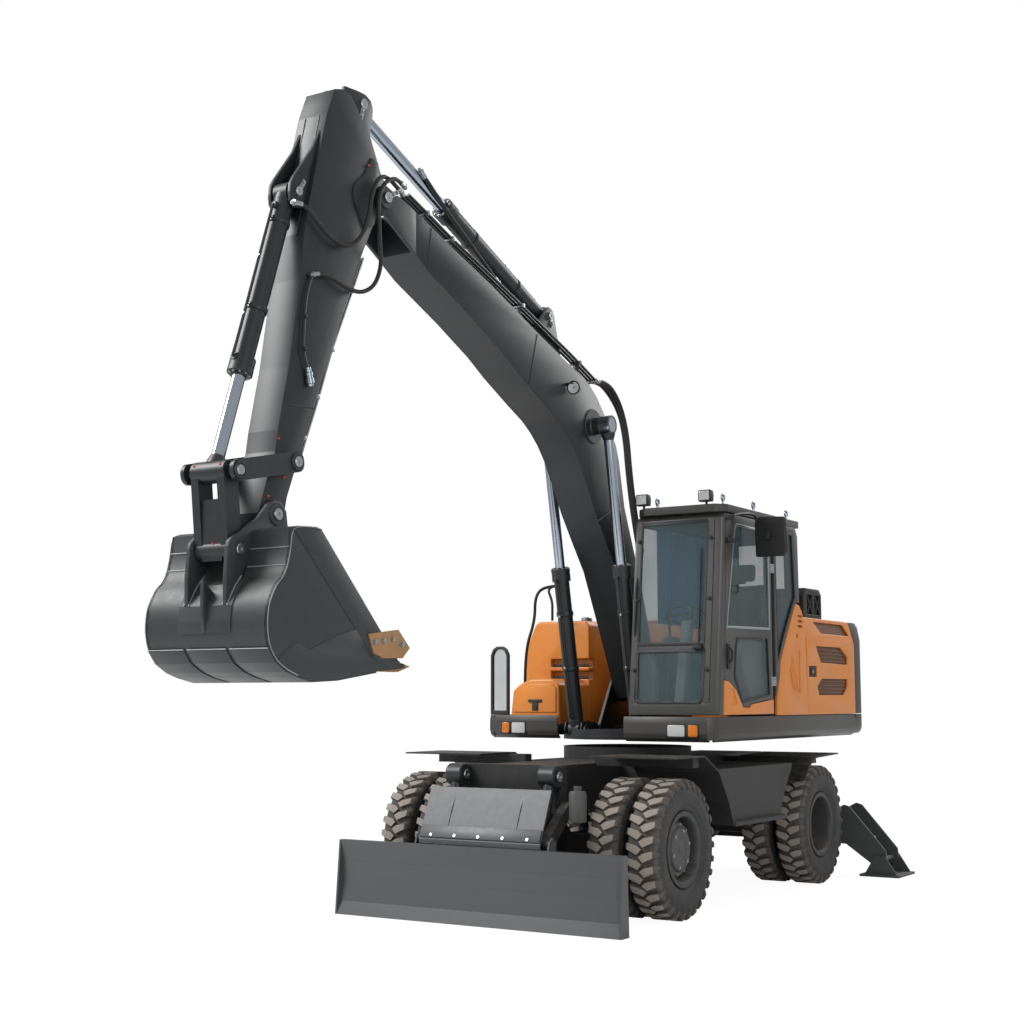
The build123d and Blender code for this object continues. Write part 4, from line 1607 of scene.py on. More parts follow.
@dataclass
class Bucket:
    """Backhoe bucket: curved shell, side plates, ears, wear bands, patch, hook, cutters, teeth."""

    half: float = 490.0
    band_spans: tuple[Flat, ...] = ((-484, -186), (-156, 156), (186, 484))
    tooth_rows: tuple[float, ...] = (-400, -200, 0, 200, 400)
    fit: Fit = Fit(("bucket", "link"))
    back: tuple[Flat, ...] = (
        (4100, 1866), (4500, 1812), (4745, 1800), (4887, 1828), (4985, 1858), (5080, 1910), (5143, 1985),
        (5170, 2080), (5173, 2154), (5162, 2243), (5130, 2306), (5091, 2370), (5038, 2409), (4999, 2484),
        (4974, 2594), (4963, 2703), (4893, 2728), (4722, 2739), (4678, 2729))
    side_plate: tuple[Flat, ...] = (
        (3850, 1915), (3850, 1892), (4100, 1866), (4500, 1812), (4745, 1800), (4887, 1828), (4985, 1858),
        (5080, 1910), (5143, 1985), (5170, 2080), (5173, 2154), (5162, 2243), (5130, 2306), (5091, 2370),
        (5038, 2409), (4999, 2484), (4974, 2594), (4963, 2703), (4893, 2728), (4722, 2739), (4678, 2729))
    ear: tuple[Flat, ...] = (
        (4614, 2764), (4630, 2860), (4675, 2912), (4747, 2926), (4803, 2896), (4898, 2793), (5019, 2717),
        (5120, 2665), (5157, 2630), (5166, 2596), (5178, 2420), (5172, 2250), (5140, 2250), (5091, 2350),
        (4960, 2560), (4680, 2700))

    def build(self) -> None:
        """Make the bucket's steel, then its wear parts."""
        shell = [self._shell(), self._ears(), self._edges()]
        ready(joined(shell), "bucket_shell", "bucket", Paint.BUCKET, 32.0, ["bucket"])
        ready(self._bands(), "bucket_wear_bands", "bucket", Paint.BUCKET)
        ready(self._patch(), "bucket_patch_plate", "bucket", Paint.BUCKET)
        ready(self._seams(), "bucket_weld_seams", "bucket", Paint.SEAM)
        ready(both_pins([(PIN.bucket, 172, 39), (PIN.link, 170, 34)]), "bucket_pin_heads", "bucket",
              Paint.PIN)
        pins = [shaft(PIN.bucket, 170, 38), shaft(PIN.link, 170, 34)]
        ready(joined(pins), "bucket_pins", "bucket", Paint.PIN)
        ready(self._teeth(), "bucket_teeth", "bucket", Paint.TEETH)
        ready(self._cutters(), "side_cutters", "bucket", Paint.TEETH)
        spots = []
        for way in (1, -1):
            for x, z in ((3860, 2045), (3960, 2075), (4060, 2062), (4150, 2052)):
                (u, v), = self.fit.move([(x, z)])
                spots.append((at(u, BOOM_Y + way * (self.half + 16), v), LEFT * way))
        ready(bolts(spots, 34), "side_cutter_bolts", "bucket", Paint.PIN)

    def _inset(self, points: Sequence[Flat], depth: float) -> list[Flat]:
        """Push an open outline inwards.

        Args:
            points: the outline.
            depth: how far, in millimetres; below zero pushes outwards.

        Returns:
            The pushed outline.
        """
        pushed = []
        for index, (x, z) in enumerate(points):
            a, b = points[max(index - 1, 0)], points[min(index + 1, len(points) - 1)]
            dx, dz = b[0] - a[0], b[1] - a[1]
            size = math.hypot(dx, dz)
            pushed.append((x - dz / size * depth, z + dx / size * depth))
        return pushed

    def _shell(self) -> bpy.types.Object:
        """Bend the wrapper plate and weld the two side plates to it.

        Returns:
            The shell.
        """
        outer = [(3790, 1905), (3800, 1893), *self.back]
        inner = self._inset(outer, 24)
        wrap = plate(self.fit.move([*outer, *reversed(inner)]), "y", BOOM_Y - self.half + 8,
                     BOOM_Y + self.half - 8, 0)
        return joined([wrap, *both_sides(self.fit.move(self.side_plate), self.half - 24, self.half - 4, 2)])

    def _edges(self) -> bpy.types.Object:
        """Add the raised rims along the side plates' front edges.

        Returns:
            The rims.
        """
        strip = [(4678, 2729), (4722, 2739), (4893, 2728), (4935, 2697), (4135, 1950), (3960, 1890),
                 (3850, 1892), (3850, 1915)]
        toe = [(5080, 1912), (5047, 1939), (4946, 2012), (4877, 2014), (4777, 1986), (4514, 2081),
               (4325, 2127), (4135, 1950), (3960, 1890), (4100, 1868), (4500, 1814), (4745, 1802),
               (4887, 1830), (4985, 1860)]
        return joined([rim for points in (strip, toe)
                       for rim in both_sides(self.fit.move(points), self.half - 6, self.half, 2)])

    def _ears(self) -> bpy.types.Object:
        """Cut the two ears, the lifting hook and the ear bosses.

        Returns:
            The ears as one piece.
        """
        made = both_sides(self.fit.move(self.ear), 140, 170, 4)
        for pin, radius in ((PIN.bucket, 74), (PIN.link, 60)):
            made += both_ends([(138, 0), (138, radius), (172, radius), (176, radius - 4), (176, 0)], pin)
        hook = [(5192, 2379), (5212, 2395), (5226, 2370), (5212, 2330), (5226, 2312), (5246, 2320),
                (5248, 2289), (5240, 2240), (5208, 2193), (5180, 2082), (5160, 2082), (5150, 2230),
                (5120, 2330), (5140, 2350)]
        made.append(plate(self.fit.move(hook), "y", BOOM_Y - 13, BOOM_Y + 13, 3))
        return joined(made)

    def _bands(self) -> bpy.types.Object:
        """Lay three wear bands round the heel.

        Returns:
            The bands.
        """
        outer = self._inset(self.back[:7], -8)
        inner = self._inset(self.back[:7], 3)
        outline = self.fit.move([*outer, *reversed(inner)])
        return joined([plate(outline, "y", BOOM_Y + y0, BOOM_Y + y1, 2) for y0, y1 in self.band_spans])

    def _patch(self) -> bpy.types.Object:
        """Lay the doubler plate under the ears."""
        run = self.back[7:13]
        points = [*self._inset(run, -7), *reversed(self._inset(run, 3))]
        return plate(self.fit.move(points), "y", BOOM_Y - 210, BOOM_Y + 210, 3)

    def _seams(self) -> bpy.types.Object:
        """Lay the weld beads across the back, beside the ears and round the bands.

        Returns:
            The beads.
        """
        made = []
        for x, z in ((4974, 2594), (4999, 2484)):
            for y0, y1 in ((-480, -176), (176, 480)):
                made.append(bead([self.fit.spot(x + 2, z, y) for y in (y0, (y0 + y1) / 2, y1)], 4.5))
        for y0, y1 in self.band_spans:
            x, z = self._inset(self.back[:8], -8)[6]
            made.append(bead([self.fit.spot(x + 2, z + 4, y) for y in (y0, (y0 + y1) / 2, y1)], 4))
        for way in (1, -1):
            for dy in (136, 174):
                run = ((5044, 2428), (5095, 2370), (5133, 2310), (5165, 2246))
                made.append(bead([self.fit.spot(x + 5, z, way * dy) for x, z in run], 5))
            made.append(bead([self.fit.spot(x, z, way * (self.half + 1))
                              for x, z in self._inset(self.back[3:], 3)], 4))
        return joined(made)

    def _teeth(self) -> bpy.types.Object:
        """Fit forged teeth on their adapters along the lip.

        Returns:
            The teeth.
        """
        made = []
        for dy in self.tooth_rows:
            adapter = [(3790, 1942), (3990, 1935), (4010, 1905), (3985, 1870), (3800, 1868), (3770, 1900)]
            made.append(plate(self.fit.move(adapter), "y", BOOM_Y + dy - 40, BOOM_Y + dy + 40, 5))
            tip = [(3662, 1906), (3800, 1868), (3815, 1872), (3815, 1930), (3790, 1936)]
            made.append(plate(self.fit.move(tip), "y", BOOM_Y + dy - 33, BOOM_Y + dy + 33, 4))
        return joined(made)

    def _cutters(self) -> bpy.types.Object:
        """Bolt a side cutter to each side plate.

        Returns:
            The two cutters.
        """
        points = [(4212, 2103), (3895, 2141), (3768, 2025), (3847, 1956), (4058, 1951), (4156, 1982)]
        return joined(both_sides(self.fit.move(points), self.half, self.half + 16, 4))


@dataclass
class Hose:
    """A rubber hose with a crimped steel sleeve and nut at each end; it may cross one joint."""

    name: str
    points: tuple[tuple[float, float, float], ...]
    bodies: tuple[str, ...]
    fit: Fit
    radius: float = 15.0
    turn: tuple[int, int] = (0, -1)

    def build(self) -> None:
        """Bend the hose and fit its ends."""
        line = [self.fit.spot(x, z, dy) for x, dy, z in self.points]
        pipe = tube(line, self.radius, 3, 8)
        if len(self.bodies) == 2:
            dressed(pipe, self.name, Paint.HOSE)
            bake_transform(pipe)
        else:
            ready(pipe, self.name, self.bodies[0], Paint.HOSE)
        for index, body in ((0, self.bodies[0]), (-1, self.bodies[-1])):
            end, near = line[index], line[1 if index == 0 else -2]
            sleeve = turned([(-26, 0), (-26, self.radius * 0.8), (-8, self.radius * 0.8),
                             (-6, self.radius + 7), (10, self.radius + 7), (12, self.radius + 3),
                             (60, self.radius + 4), (66, self.radius - 2)], end, near - end,
                            6 if self.radius < 10 else 16)
            ready(sleeve, f"{self.name}_end_{'a' if index == 0 else 'b'}", body, Paint.PIN)


@dataclass
class Hoses:
    """The hoses over the arm's head and down behind the boom."""

    def build(self) -> None:
        """Bend every hose."""
        arm = Fit(("tip", "crowd_eye", "curl_base", "bucket", "rocker"))
        boom = Fit(("foot", "tip", "lift_eye", "crowd_base"))
        high = ((4500, 150, 4965), (4412, 165, 4972), (4329, 168, 4919), (4218, 168, 4842), (4105, 168, 4790),
                (3991, 168, 4790), (3899, 172, 4847), (3849, 180, 4938), (3836, 200, 5052), (3831, 210, 5174),
                (3781, 212, 5290), (3707, 205, 5350), (3600, 185, 5362), (3500, 166, 5345), (3400, 152, 5318))
        low = ((3400, 176, 5362), (3518, 200, 5378), (3610, 214, 5357), (3701, 218, 5298), (3759, 218, 5207),
               (3765, 216, 5103), (3734, 205, 4990), (3680, 175, 4860), (3640, 165, 4740), (3695, 160, 4582),
               (3827, 158, 4500), (3958, 156, 4495), (4087, 156, 4526), (4213, 152, 4556), (4330, 150, 4520))
        Hose("curl_hose_upper", high, ("arm", "boom"), arm, 15, (6, 11)).build()
        Hose("curl_hose_lower", low, ("boom", "arm"), arm, 15, (2, 7)).build()
        coupler = ((4330, 150, 4520), (4388, 150, 4400), (4425, 150, 4253), (4451, 150, 4090),
                   (4470, 150, 3979), (4460, 150, 3893), (4430, 150, 3830))
        pipe = tube([arm.spot(x, z, dy) for x, dy, z in coupler], 11, 2, 6)
        clamps = [bolts([(arm.spot(4436, 4200, 162), LEFT), (arm.spot(4468, 3960, 162), LEFT)], 26)]
        ready(joined([pipe, *clamps]), "auxiliary_pipe", "arm", Paint.CHARCOAL)
        end = arm.spot(4430, 3830, 150)
        quick = turned([(-10, 0), (-10, 20), (20, 20), (24, 26), (44, 26), (46, 22), (60, 22), (62, 28),
                        (92, 28), (96, 24), (112, 22), (112, 0)], end, Vector((-0.28, 0, -1)), 24)
        ready(quick, "auxiliary_coupler", "arm", Paint.CHROME)
        for number, (dy, shift) in enumerate(((150, 0), (116, -30), (82, -60))):
            drop = ((560, dy, 4400), (420, dy, 4420), (240, dy - 6, 4380), (60 + shift, dy - 12, 4230),
                    (-60 + shift, dy - 20, 4000), (-120 + shift, dy - 30, 3700),
                    (-230 + shift, dy - 40, 3300), (-330 + shift, dy - 40, 3000))
            Hose(f"boom_hose_{number}", drop, ("boom",), boom, 16).build()
        gland = ((3060, 60, 5600), (2900, 70, 5480), (2700, 84, 5330), (2480, 90, 5190), (2300, 90, 5080),
                 (2140, 88, 4985))
        Hose("crowd_hose", gland, ("arm_cylinder_barrel", "boom"), boom, 16, (0, 5)).build()


def rams() -> list[Ram]:
    """Give every hydraulic cylinder of the digging gear."""
    return [Ram("lift_ram", "boom_cylinder_barrels", "boom_cylinder_rods", (BOOM_Y + 300, BOOM_Y - 300),
                PIN.lift_base, PIN.lift_eye, 1400, 66, 14, 43, 80, 50, -1.0, (520.0, 1000.0)),
            Ram("crowd_ram", "arm_cylinder_barrel", "arm_cylinder_rod", (BOOM_Y,), PIN.crowd_base,
                PIN.crowd_eye, 1500, 72, 14, 47, 80, 55, 1.0, (420.0, 1080.0)),
            Ram("curl_ram", "bucket_cylinder_barrel", "bucket_cylinder_rod", (BOOM_Y,), PIN.curl_base,
                PIN.rocker_top, 1330, 66, 14, 43, 62, 45, 1.0, (210.0, 860.0))]


# ------------------------------------------------------------------ cab
CAB_RIGHT = 436
RUBBER_EDGE = 14
LEAN = ((1600, 0), (3150, -170))


def sheet(points: Sequence[Flat], plane: str, w0: float, w1: float,
          lean: Sequence[Flat] = ()) -> bpy.types.Object:
    """Cut a thin pane and lean it.

    Args:
        points: its outline as (y, z) or (x, z).
        plane: the axis that it faces.
        w0: where it starts on that axis.
        w1: where it ends.
        lean: ((z, shift), (z, shift)) of a straight lean along x.

    Returns:
        The pane.
    """
    piece = plate(points, plane, w0, w1, 0)
    if lean:
        (za, sa), (zb, sb) = lean
        for vertex in piece.data.vertices:
            share = (vertex.co.z * METRE - za) / (zb - za)
            vertex.co.x += (sa + (sb - sa) * share) * MM
    return piece


def grown(points: Sequence[Flat], width: float) -> list[Flat]:
    """Grow an outline about its middle.

    Args:
        points: the outline.
        width: how far each corner goes out, in millimetres.

    Returns:
        The grown outline.
    """
    mx, mz = sum(p[0] for p in points) / len(points), sum(p[1] for p in points) / len(points)
    made = []
    for x, z in points:
        size = math.hypot(x - mx, z - mz)
        made.append((x + (x - mx) / size * width * 1.3, z + (z - mz) / size * width * 1.3))
    return made


def seal(points: Sequence[Flat], plane: str, w0: float, w1: float, width: float = RUBBER_EDGE,
         lean: Sequence[Flat] = ()) -> bpy.types.Object:
    """Cut a rubber seal round a pane.

    Args:
        points: the pane's outline.
        plane: the axis that it faces.
        w0: where the seal starts on that axis.
        w1: where it ends.
        width: the seal's width.
        lean: as for a pane.

    Returns:
        The seal.
    """
    outer = sheet(grown(points, width * 0.5), plane, w0, w1, lean)
    return soften(cut(outer, sheet(grown(points, -width * 0.5), plane, w0 - 40, w1 + 40, lean)), 2)


@dataclass
class Cab:
    """Operator's cab: frame, roof, panes, seals, lamps, wiper and all inside it."""

    outline: tuple[Flat, ...] = (
        (790, 1532), (790, 1600), (620, 3150), (560, 3195), (-900, 3195), (-950, 3120), (-970, 2560),
        (-520, 1900), (-480, 1532))
    inside: tuple[Flat, ...] = (
        (765, 1557), (765, 1598), (597, 3128), (550, 3170), (-890, 3170), (-925, 3112), (-945, 2566),
        (-497, 1908), (-458, 1557))
    quarter: tuple[Flat, ...] = (
        (-425, 3130), (-815, 3130), (-868, 2565), (-808, 2500), (-560, 2180), (-445, 1995))
    right_pane: tuple[Flat, ...] = (
        (640, 2100), (540, 3120), (-815, 3120), (-868, 2565), (-808, 2500), (-560, 2180), (-480, 2100))
    front: tuple[Flat, ...] = ((508, 2112), (1095, 2112), (1105, 2130), (1105, 3100), (1085, 3125),
                               (518, 3125), (498, 3100), (498, 2130))
    low: tuple[Flat, ...] = ((530, 1632), (1065, 1632), (1105, 1680), (1105, 2052), (498, 2052), (498, 1668))

    def build(self) -> None:
        """Make the cab from the frame inwards."""
        self._frame()
        self._roof()
        self._panes()
        self._front_fittings()
        self._inside()
        Cushions().build()

    def _frame(self) -> None:
        """Make the welded frame and cut its windows."""
        shell = plate(self.outline, "y", CAB_RIGHT, 1222, 0)
        cut(shell, plate(self.inside, "y", CAB_RIGHT + 22, 1197, 0),
            plate([(640, 1565), (648, 1834), (560, 3120), (-280, 3120), (-280, 1565)], "y", 1150, 1260, 0),
            plate(self.quarter, "y", 1150, 1260, 0), plate(self.right_pane, "y", 400, 480, 0),
            plate(self.front, "x", 560, 830, 0), plate(self.low, "x", 690, 830, 0),
            plate([(520, 2640), (1120, 2640), (1120, 3060), (520, 3060)], "x", -1000, -900, 0))
        soften(shell, 9, 3)
        posts = [plate([(790, 1535), (790, 1600), (620, 3150), (596, 3168), (690, 1836), (712, 1535)], "y",
                       1215, 1250, 6, 3)]
        rear = plate([(-395, 1700), (-395, 3195), (-900, 3195), (-950, 3120), (-966, 2522), (-866, 2522),
                      (-754, 2378), (-624, 2190), (-496, 2004), (-469, 1854)], "y", 1215, 1250, 0)
        cut(rear, plate(self.quarter, "y", 1150, 1260, 0))
        for y0, y1 in ((456, 496), (1107, 1160)):
            posts.append(sheet([(y0, 1640), (y1, 1640), (y1, 3150), (y0, 3150)], "x", 786, 796, LEAN))
        ready(joined([shell, soften(rear, 5), *posts]), "cab_frame", "upper", Paint.CAB, 32.0,
              ["cab_shell"])

    def _roof(self) -> None:
        """Press the roof with its rounded edge and gutter."""
        outline = [(CAB_RIGHT - 6, -985), (1250, -985), (1250, 560), (1170, 645), (520, 645),
                   (CAB_RIGHT - 6, 560)]
        roof = plate([(x, y) for y, x in outline], "z", 3197, 3262, 0)
        edit(roof)
        pick(roof, lambda face: face.normal.z > 0.9)
        bpy.ops.mesh.inset(thickness=0.035, depth=0)
        bpy.ops.transform.translate(value=(0, 0, 0.001))
        bpy.ops.mesh.inset(thickness=0.12, depth=0)
        bpy.ops.mesh.inset(thickness=0.01, depth=-0.012)
        close()
        soften(roof, 18, 4)
        ready(roof, "cab_roof_panel", "upper", Paint.CAB, 35.0, ["cab_roof"])

    def _panes(self) -> None:
        """Set the panes and their rubber seals."""
        panes = [sheet(grown(self.front, 3), "x", 782, 788, LEAN),
                 sheet(grown(self.low, 3), "x", 782, 788, LEAN),
                 sheet(grown(self.quarter, 3), "y", 1230, 1236),
                 sheet(grown(self.right_pane, 3), "y", 444, 450),
                 sheet([(518, 2638), (1122, 2638), (1122, 3062), (518, 3062)], "x", -944, -938)]
        ready(joined(panes), "cab_panes", "upper", Paint.GLASS, 35.0, ["cab_glass"])
        seals = [seal(self.front, "x", 784, 796, 26, LEAN), seal(self.low, "x", 784, 796, 26, LEAN),
                 seal(self.quarter, "y", 1234, 1252, 22), seal(self.right_pane, "y", 430, 440, 22)]
        ready(joined(seals), "cab_window_seals", "upper", Paint.BLACK)

    def _front_fittings(self) -> None:
        """Fit lamps, wiper, handrail, lifting eyes and pillar knobs."""
        black, lens, steel = [], [], []
        for y in (500, 1080):
            black.append(plate([(585, 3285), (645, 3285), (655, 3300), (655, 3368), (645, 3382), (590, 3378),
                                (574, 3340)], "y", y - 55, y + 55, 6, 3))
            black.append(slab((598, y - 9, 3240), (612, y + 9, 3292), 2))
            lens.append(plate([(y - 46, 3296), (y + 46, 3296), (y + 46, 3372), (y - 46, 3372)], "x", 653, 658,
                              2))
        black.append(tube([at(742, 1052, 2080), at(720, 1050, 2300), at(690, 1046, 2600),
                           at(664, 1040, 2840)], 7))
        black.append(sheet([(1046, 2240), (1058, 2240), (1052, 2900), (1040, 2900)], "x", 798, 810, LEAN))
        black.append(slab((735, 1010, 2066), (778, 1090, 2098), 5))
        black.append(tube([at(700, 470, 2150), at(742, 466, 2180), at(716, 466, 2420), at(690, 466, 2680),
                           at(640, 470, 2700)], 11))
        for z, reach in ((1900, 764), (2480, 700), (2980, 645)):
            for y in (475, 1135):
                black.append(turned([(0, 0), (0, 15), (14, 15), (20, 10), (20, 0)], at(reach, y, z),
                                    Vector((1, 0, 0.11)), 16))
        for x, y, z in ((430, 1150, 3255), (-940, 1150, 3255), (430, 540, 3255), (-200, 1150, 3255)):
            steel.append(turned([(0, 0), (0, 20), (12, 20), (12, 11), (52, 10), (52, 0)], at(x, y, z), UP,
                                20))
            steel.append(start("torus", location=at(x, y, z + 80), rotation=(math.pi / 2, 0, 0),
                               major_radius=26 * MM, minor_radius=9 * MM, major_segments=28,
                               minor_segments=12))
        ready(joined(black), "cab_fittings", "upper", Paint.BLACK)
        ready(joined(lens), "roof_lamp_lenses", "upper", Paint.LENS)
        ready(joined(steel), "cab_lifting_eyes", "upper", Paint.CHROME)

    def _inside(self) -> None:
        """Make the column, wheel, consoles, levers, screen, mat and curtain."""
        grey, black = [], []
        grey.append(plate([(610, 1560), (700, 1560), (520, 2290), (480, 2340), (440, 2330), (460, 2250)], "y",
                          790, 880, 12, 3))
        for y0, y1 in ((470, 560), (1090, 1180)):
            grey.append(plate([(-330, 1562), (-60, 1562), (220, 2110), (240, 2180), (180, 2200),
                               (-330, 2140)], "y", y0, y1, 16, 3))
            middle = (y0 + y1) / 2
            black.append(turned([(0, 0), (0, 26), (30, 12), (150, 11), (170, 26), (226, 30), (238, 16),
                                 (238, 0)], at(170, middle, 2170), Vector((0.12, 0, 1)), 24))
        grey.append(plate([(460, 1562), (600, 1562), (600, 1900), (560, 2070), (460, 2080)], "x", 560, 650,
                          14, 3))
        tilt = Vector((-0.47, 0, 0.88))
        hub = at(470, 835, 2345)
        black.append(start("torus", location=hub, rotation=tilt.to_track_quat("Z", "Y").to_euler(),
                           major_radius=175 * MM, minor_radius=13 * MM, major_segments=48, minor_segments=12))
        black.append(turned([(-40, 0), (-40, 34), (0, 48), (12, 40), (12, 0)], hub, tilt, 24))
        for turn in (0, 2.1, 4.2):
            out = tilt.orthogonal().normalized()
            out.rotate(Quaternion(tilt, turn))
            black.append(tube([hub, hub + out * 0.06 + tilt * 0.004, hub + out * 0.172], 9))
        for y in (700, 970):
            black.append(plate([(560, 1580), (640, 1640), (628, 1655), (548, 1596)], "y", y - 45, y + 45, 4))
            black.append(tube([at(560, y, 1590), at(610, y, 1700), at(590, y, 1880)], 8))
        black.append(plate([(-440, 1558), (750, 1558), (750, 1568), (-440, 1568)], "y", 470, 1190, 3))
        black.append(plate([(1000, 2080), (1150, 2080), (1150, 2290), (1000, 2290)], "x", 560, 590, 8))
        ready(joined(grey), "cab_consoles", "upper", Paint.PLASTIC, 35.0, ["controls"])
        ready(joined(black), "cab_levers_and_wheel", "upper", Paint.BLACK)
        run = [(480 + step * 16, -905 + 16 * math.sin(step * 1.9)) for step in range(15)]
        fold = [(x, y) for y, x in run] + [(x + 5, y) for y, x in reversed(run)]
        side = [(-780 + step * 34, 486 + 14 * math.sin(step * 1.9)) for step in range(34)]
        wide = side + [(x, y + 5) for x, y in reversed(side)]
        cloths = [plate(fold, "z", 2560, 3120, 0), plate(wide, "z", 2300, 3110, 0)]
        ready(joined(cloths), "cab_curtain", "upper", Paint.CURTAIN, 60.0)
        lining = [slab((-930, 462, 1562), (600, 468, 2098), 2),
                  slab((-450, 470, 1560), (-440, 1190, 2000), 2),
                  slab((-900, 470, 3150), (540, 1190, 3160), 3)]
        ready(joined(lining), "cab_lining", "upper", Paint.INSIDE)


@dataclass
class Door:
    """Cab door with two panes, seals, hinges, handle, mirror and the orange wedge below."""

    skin: tuple[Flat, ...] = (
        (-325, 1666), (148, 1624), (185, 1595), (324, 1603), (456, 1744), (607, 1815), (683, 1819),
        (584, 3183), (-325, 3183))
    upper: tuple[Flat, ...] = ((395, 3105), (430, 3060), (618, 2247), (-268, 2262), (-266, 3100))
    lower: tuple[Flat, ...] = ((405, 2161), (-228, 2182), (-259, 1700), (320, 1642), (465, 1836), (444, 2061))
    wedge: tuple[Flat, ...] = (
        (703, 1536), (686, 1813), (608, 1809), (458, 1738), (326, 1597), (185, 1589), (148, 1618),
        (-325, 1660), (-325, 1536))
    hinge_heights: tuple[float, ...] = (1775, 2752)

    def build(self) -> None:
        """Make the door and everything that swings with it."""
        door = ledge(self.skin, "y", 1226, 1248, (self.upper, self.lower), 4)
        hinges = []
        for z in self.hinge_heights:
            hinges.append(slab((-400, 1236, z), (-300, 1250, z + 78), 3))
            hinges.append(turned([(0, 0), (0, 9), (78, 9), (78, 0)], at(-400, 1240, z), UP, 16))
        ready(door, "door_leaf", "cab_door", Paint.CAB, 32.0, ["cab_door"])
        spots = [(at(x, 1250, z + dz), LEFT) for x in (-375, -325) for z in self.hinge_heights
                 for dz in (20, 58)]
        ready(joined([*hinges, bolts(spots, 14)]), "door_hinges", "cab_door", Paint.PIN)
        panes = [sheet(grown(p, 3), "y", 1234, 1240) for p in (self.upper, self.lower)]
        ready(joined(panes), "door_panes", "cab_door", Paint.GLASS, 35.0, ["cab_door_glass"])
        ready(seal(self.upper, "y", 1238, 1254, 20), "door_window_frame", "cab_door", Paint.PIN)
        seals = [seal(self.lower, "y", 1238, 1252, 22)]
        seals.append(tube([at(430, 1250, 2590), at(430, 1268, 2600), at(432, 1270, 2540),
                           at(436, 1250, 2530)], 7))
        seals.append(plate([(556, 1905), (628, 1905), (622, 2110), (560, 2110)], "y", 1246, 1262, 5))
        seals.append(tube([at(588, 1258, 1960), at(590, 1284, 1975), at(596, 1284, 2065),
                           at(600, 1258, 2080)], 9))
        ready(joined(seals), "door_seals_and_handle", "cab_door", Paint.BLACK)
        wedge = ledge(self.wedge, "y", 1228, 1254, (), 4)
        cut(wedge, plate([(617, 1751), (502, 1745), (439, 1622), (607, 1609)], "y", 1244, 1270, 4))
        ready(wedge, "door_wedge", "cab_door", Paint.ORANGE)
        self._mirror()

    def _mirror(self) -> None:
        """Hang the mirror on its bent arm from the front pillar."""
        arm = tube([at(588, 1252, 2955), at(588, 1300, 2975), at(588, 1306, 3140), at(560, 1306, 3170),
                    at(187, 1306, 3217), at(120, 1320, 3180), at(112, 1330, 3060)], 11)
        shell = plate([(1306, 2850), (1560, 2850), (1590, 2890), (1575, 3180), (1340, 3195), (1300, 3150)],
                      "x", 92, 140, 18, 4)
        clamps = [slab((566, 1250, 2935), (610, 1308, 2975), 5),
                  slab((566, 1250, 3128), (610, 1308, 3166), 5),
                  slab((136, 1400, 2990), (164, 1450, 3060), 5)]
        ready(joined([arm, shell, *clamps]), "door_mirror_shell", "upper", Paint.BLACK)
        glass = plate([(1322, 2868), (1552, 2868), (1572, 2896), (1560, 3164), (1344, 3178), (1318, 3146)],
                      "x", 88, 93, 1)
        ready(glass, "door_mirror_glass", "upper", Paint.CHROME)


@dataclass
class Cushions:
    """Seat: two puffed cushions, a head rest and the sprung base.

    fill is not used; the cloth is blown up for some frames, by at most limit metres.
    """

    fill: float = 0.9
    frames: int = 20
    limit: float = 0.022

    def build(self) -> None:
        """Make the seat."""
        cushion = plate([(-560, 1965), (-60, 1972), (-30, 2020), (-70, 2080), (-560, 2072)], "y", 600, 1060,
                        26, 4)
        back = plate([(-600, 2080), (-520, 2085), (-610, 2640), (-660, 2700), (-716, 2680), (-716, 2500)],
                     "y", 610, 1050, 26, 4)
        head = plate([(-700, 2712), (-622, 2712), (-640, 2850), (-680, 2868), (-716, 2850)], "y", 710, 950,
                     22, 4)
        for name, piece in (("seat_cushion", cushion), ("seat_back", back), ("head_rest", head)):
            self._puff(piece)
            stands_for = ["seat"] if name == "seat_cushion" else ()
            ready(piece, name, "upper", Paint.CLOTH, 60.0, stands_for)
        base = [slab((-470, 680, 1562), (-150, 980, 1700), 12),
                slab((-520, 660, 1900), (-120, 1000, 1962), 12),
                plate([(-420, 1700), (-200, 1700), (-240, 1800), (-200, 1900), (-420, 1900), (-380, 1800)],
                      "y", 720, 940, 6), slab((-680, 800, 2690), (-650, 860, 2730), 4)]
        ready(joined(base), "seat_base", "upper", Paint.BLACK)

    def _puff(self, piece: bpy.types.Object) -> None:
        """Blow a cushion up a little, as filled cloth.

        Args:
            piece: the plain cushion, changed in place.
        """
        through(piece, "REMESH", mode="VOXEL", voxel_size=0.008)
        rest = [vertex.co.copy() for vertex in piece.data.vertices]
        cloth = piece.modifiers.new("cloth", "CLOTH")
        cloth.settings.use_pressure = True
        cloth.settings.uniform_pressure_force = 4.0
        cloth.settings.effector_weights.gravity = 0.0
        cloth.settings.tension_stiffness = 40.0
        cloth.point_cache.frame_start, cloth.point_cache.frame_end = 1, self.frames
        for number in range(1, self.frames + 1):
            bpy.context.scene.frame_set(number)
        choose(piece)
        bpy.ops.object.modifier_apply(modifier=cloth.name)
        bpy.context.scene.frame_set(1)
        for vertex, was in zip(piece.data.vertices, rest):
            step = vertex.co - was
            if step.length > self.limit:
                vertex.co = was + step.normalized() * self.limit
        through(piece, "SUBSURF", levels=1)


# ------------------------------------------------------------------ body
BACK_X, HOOD_BACK, HOOD_FRONT = -2797, -2361, -1122


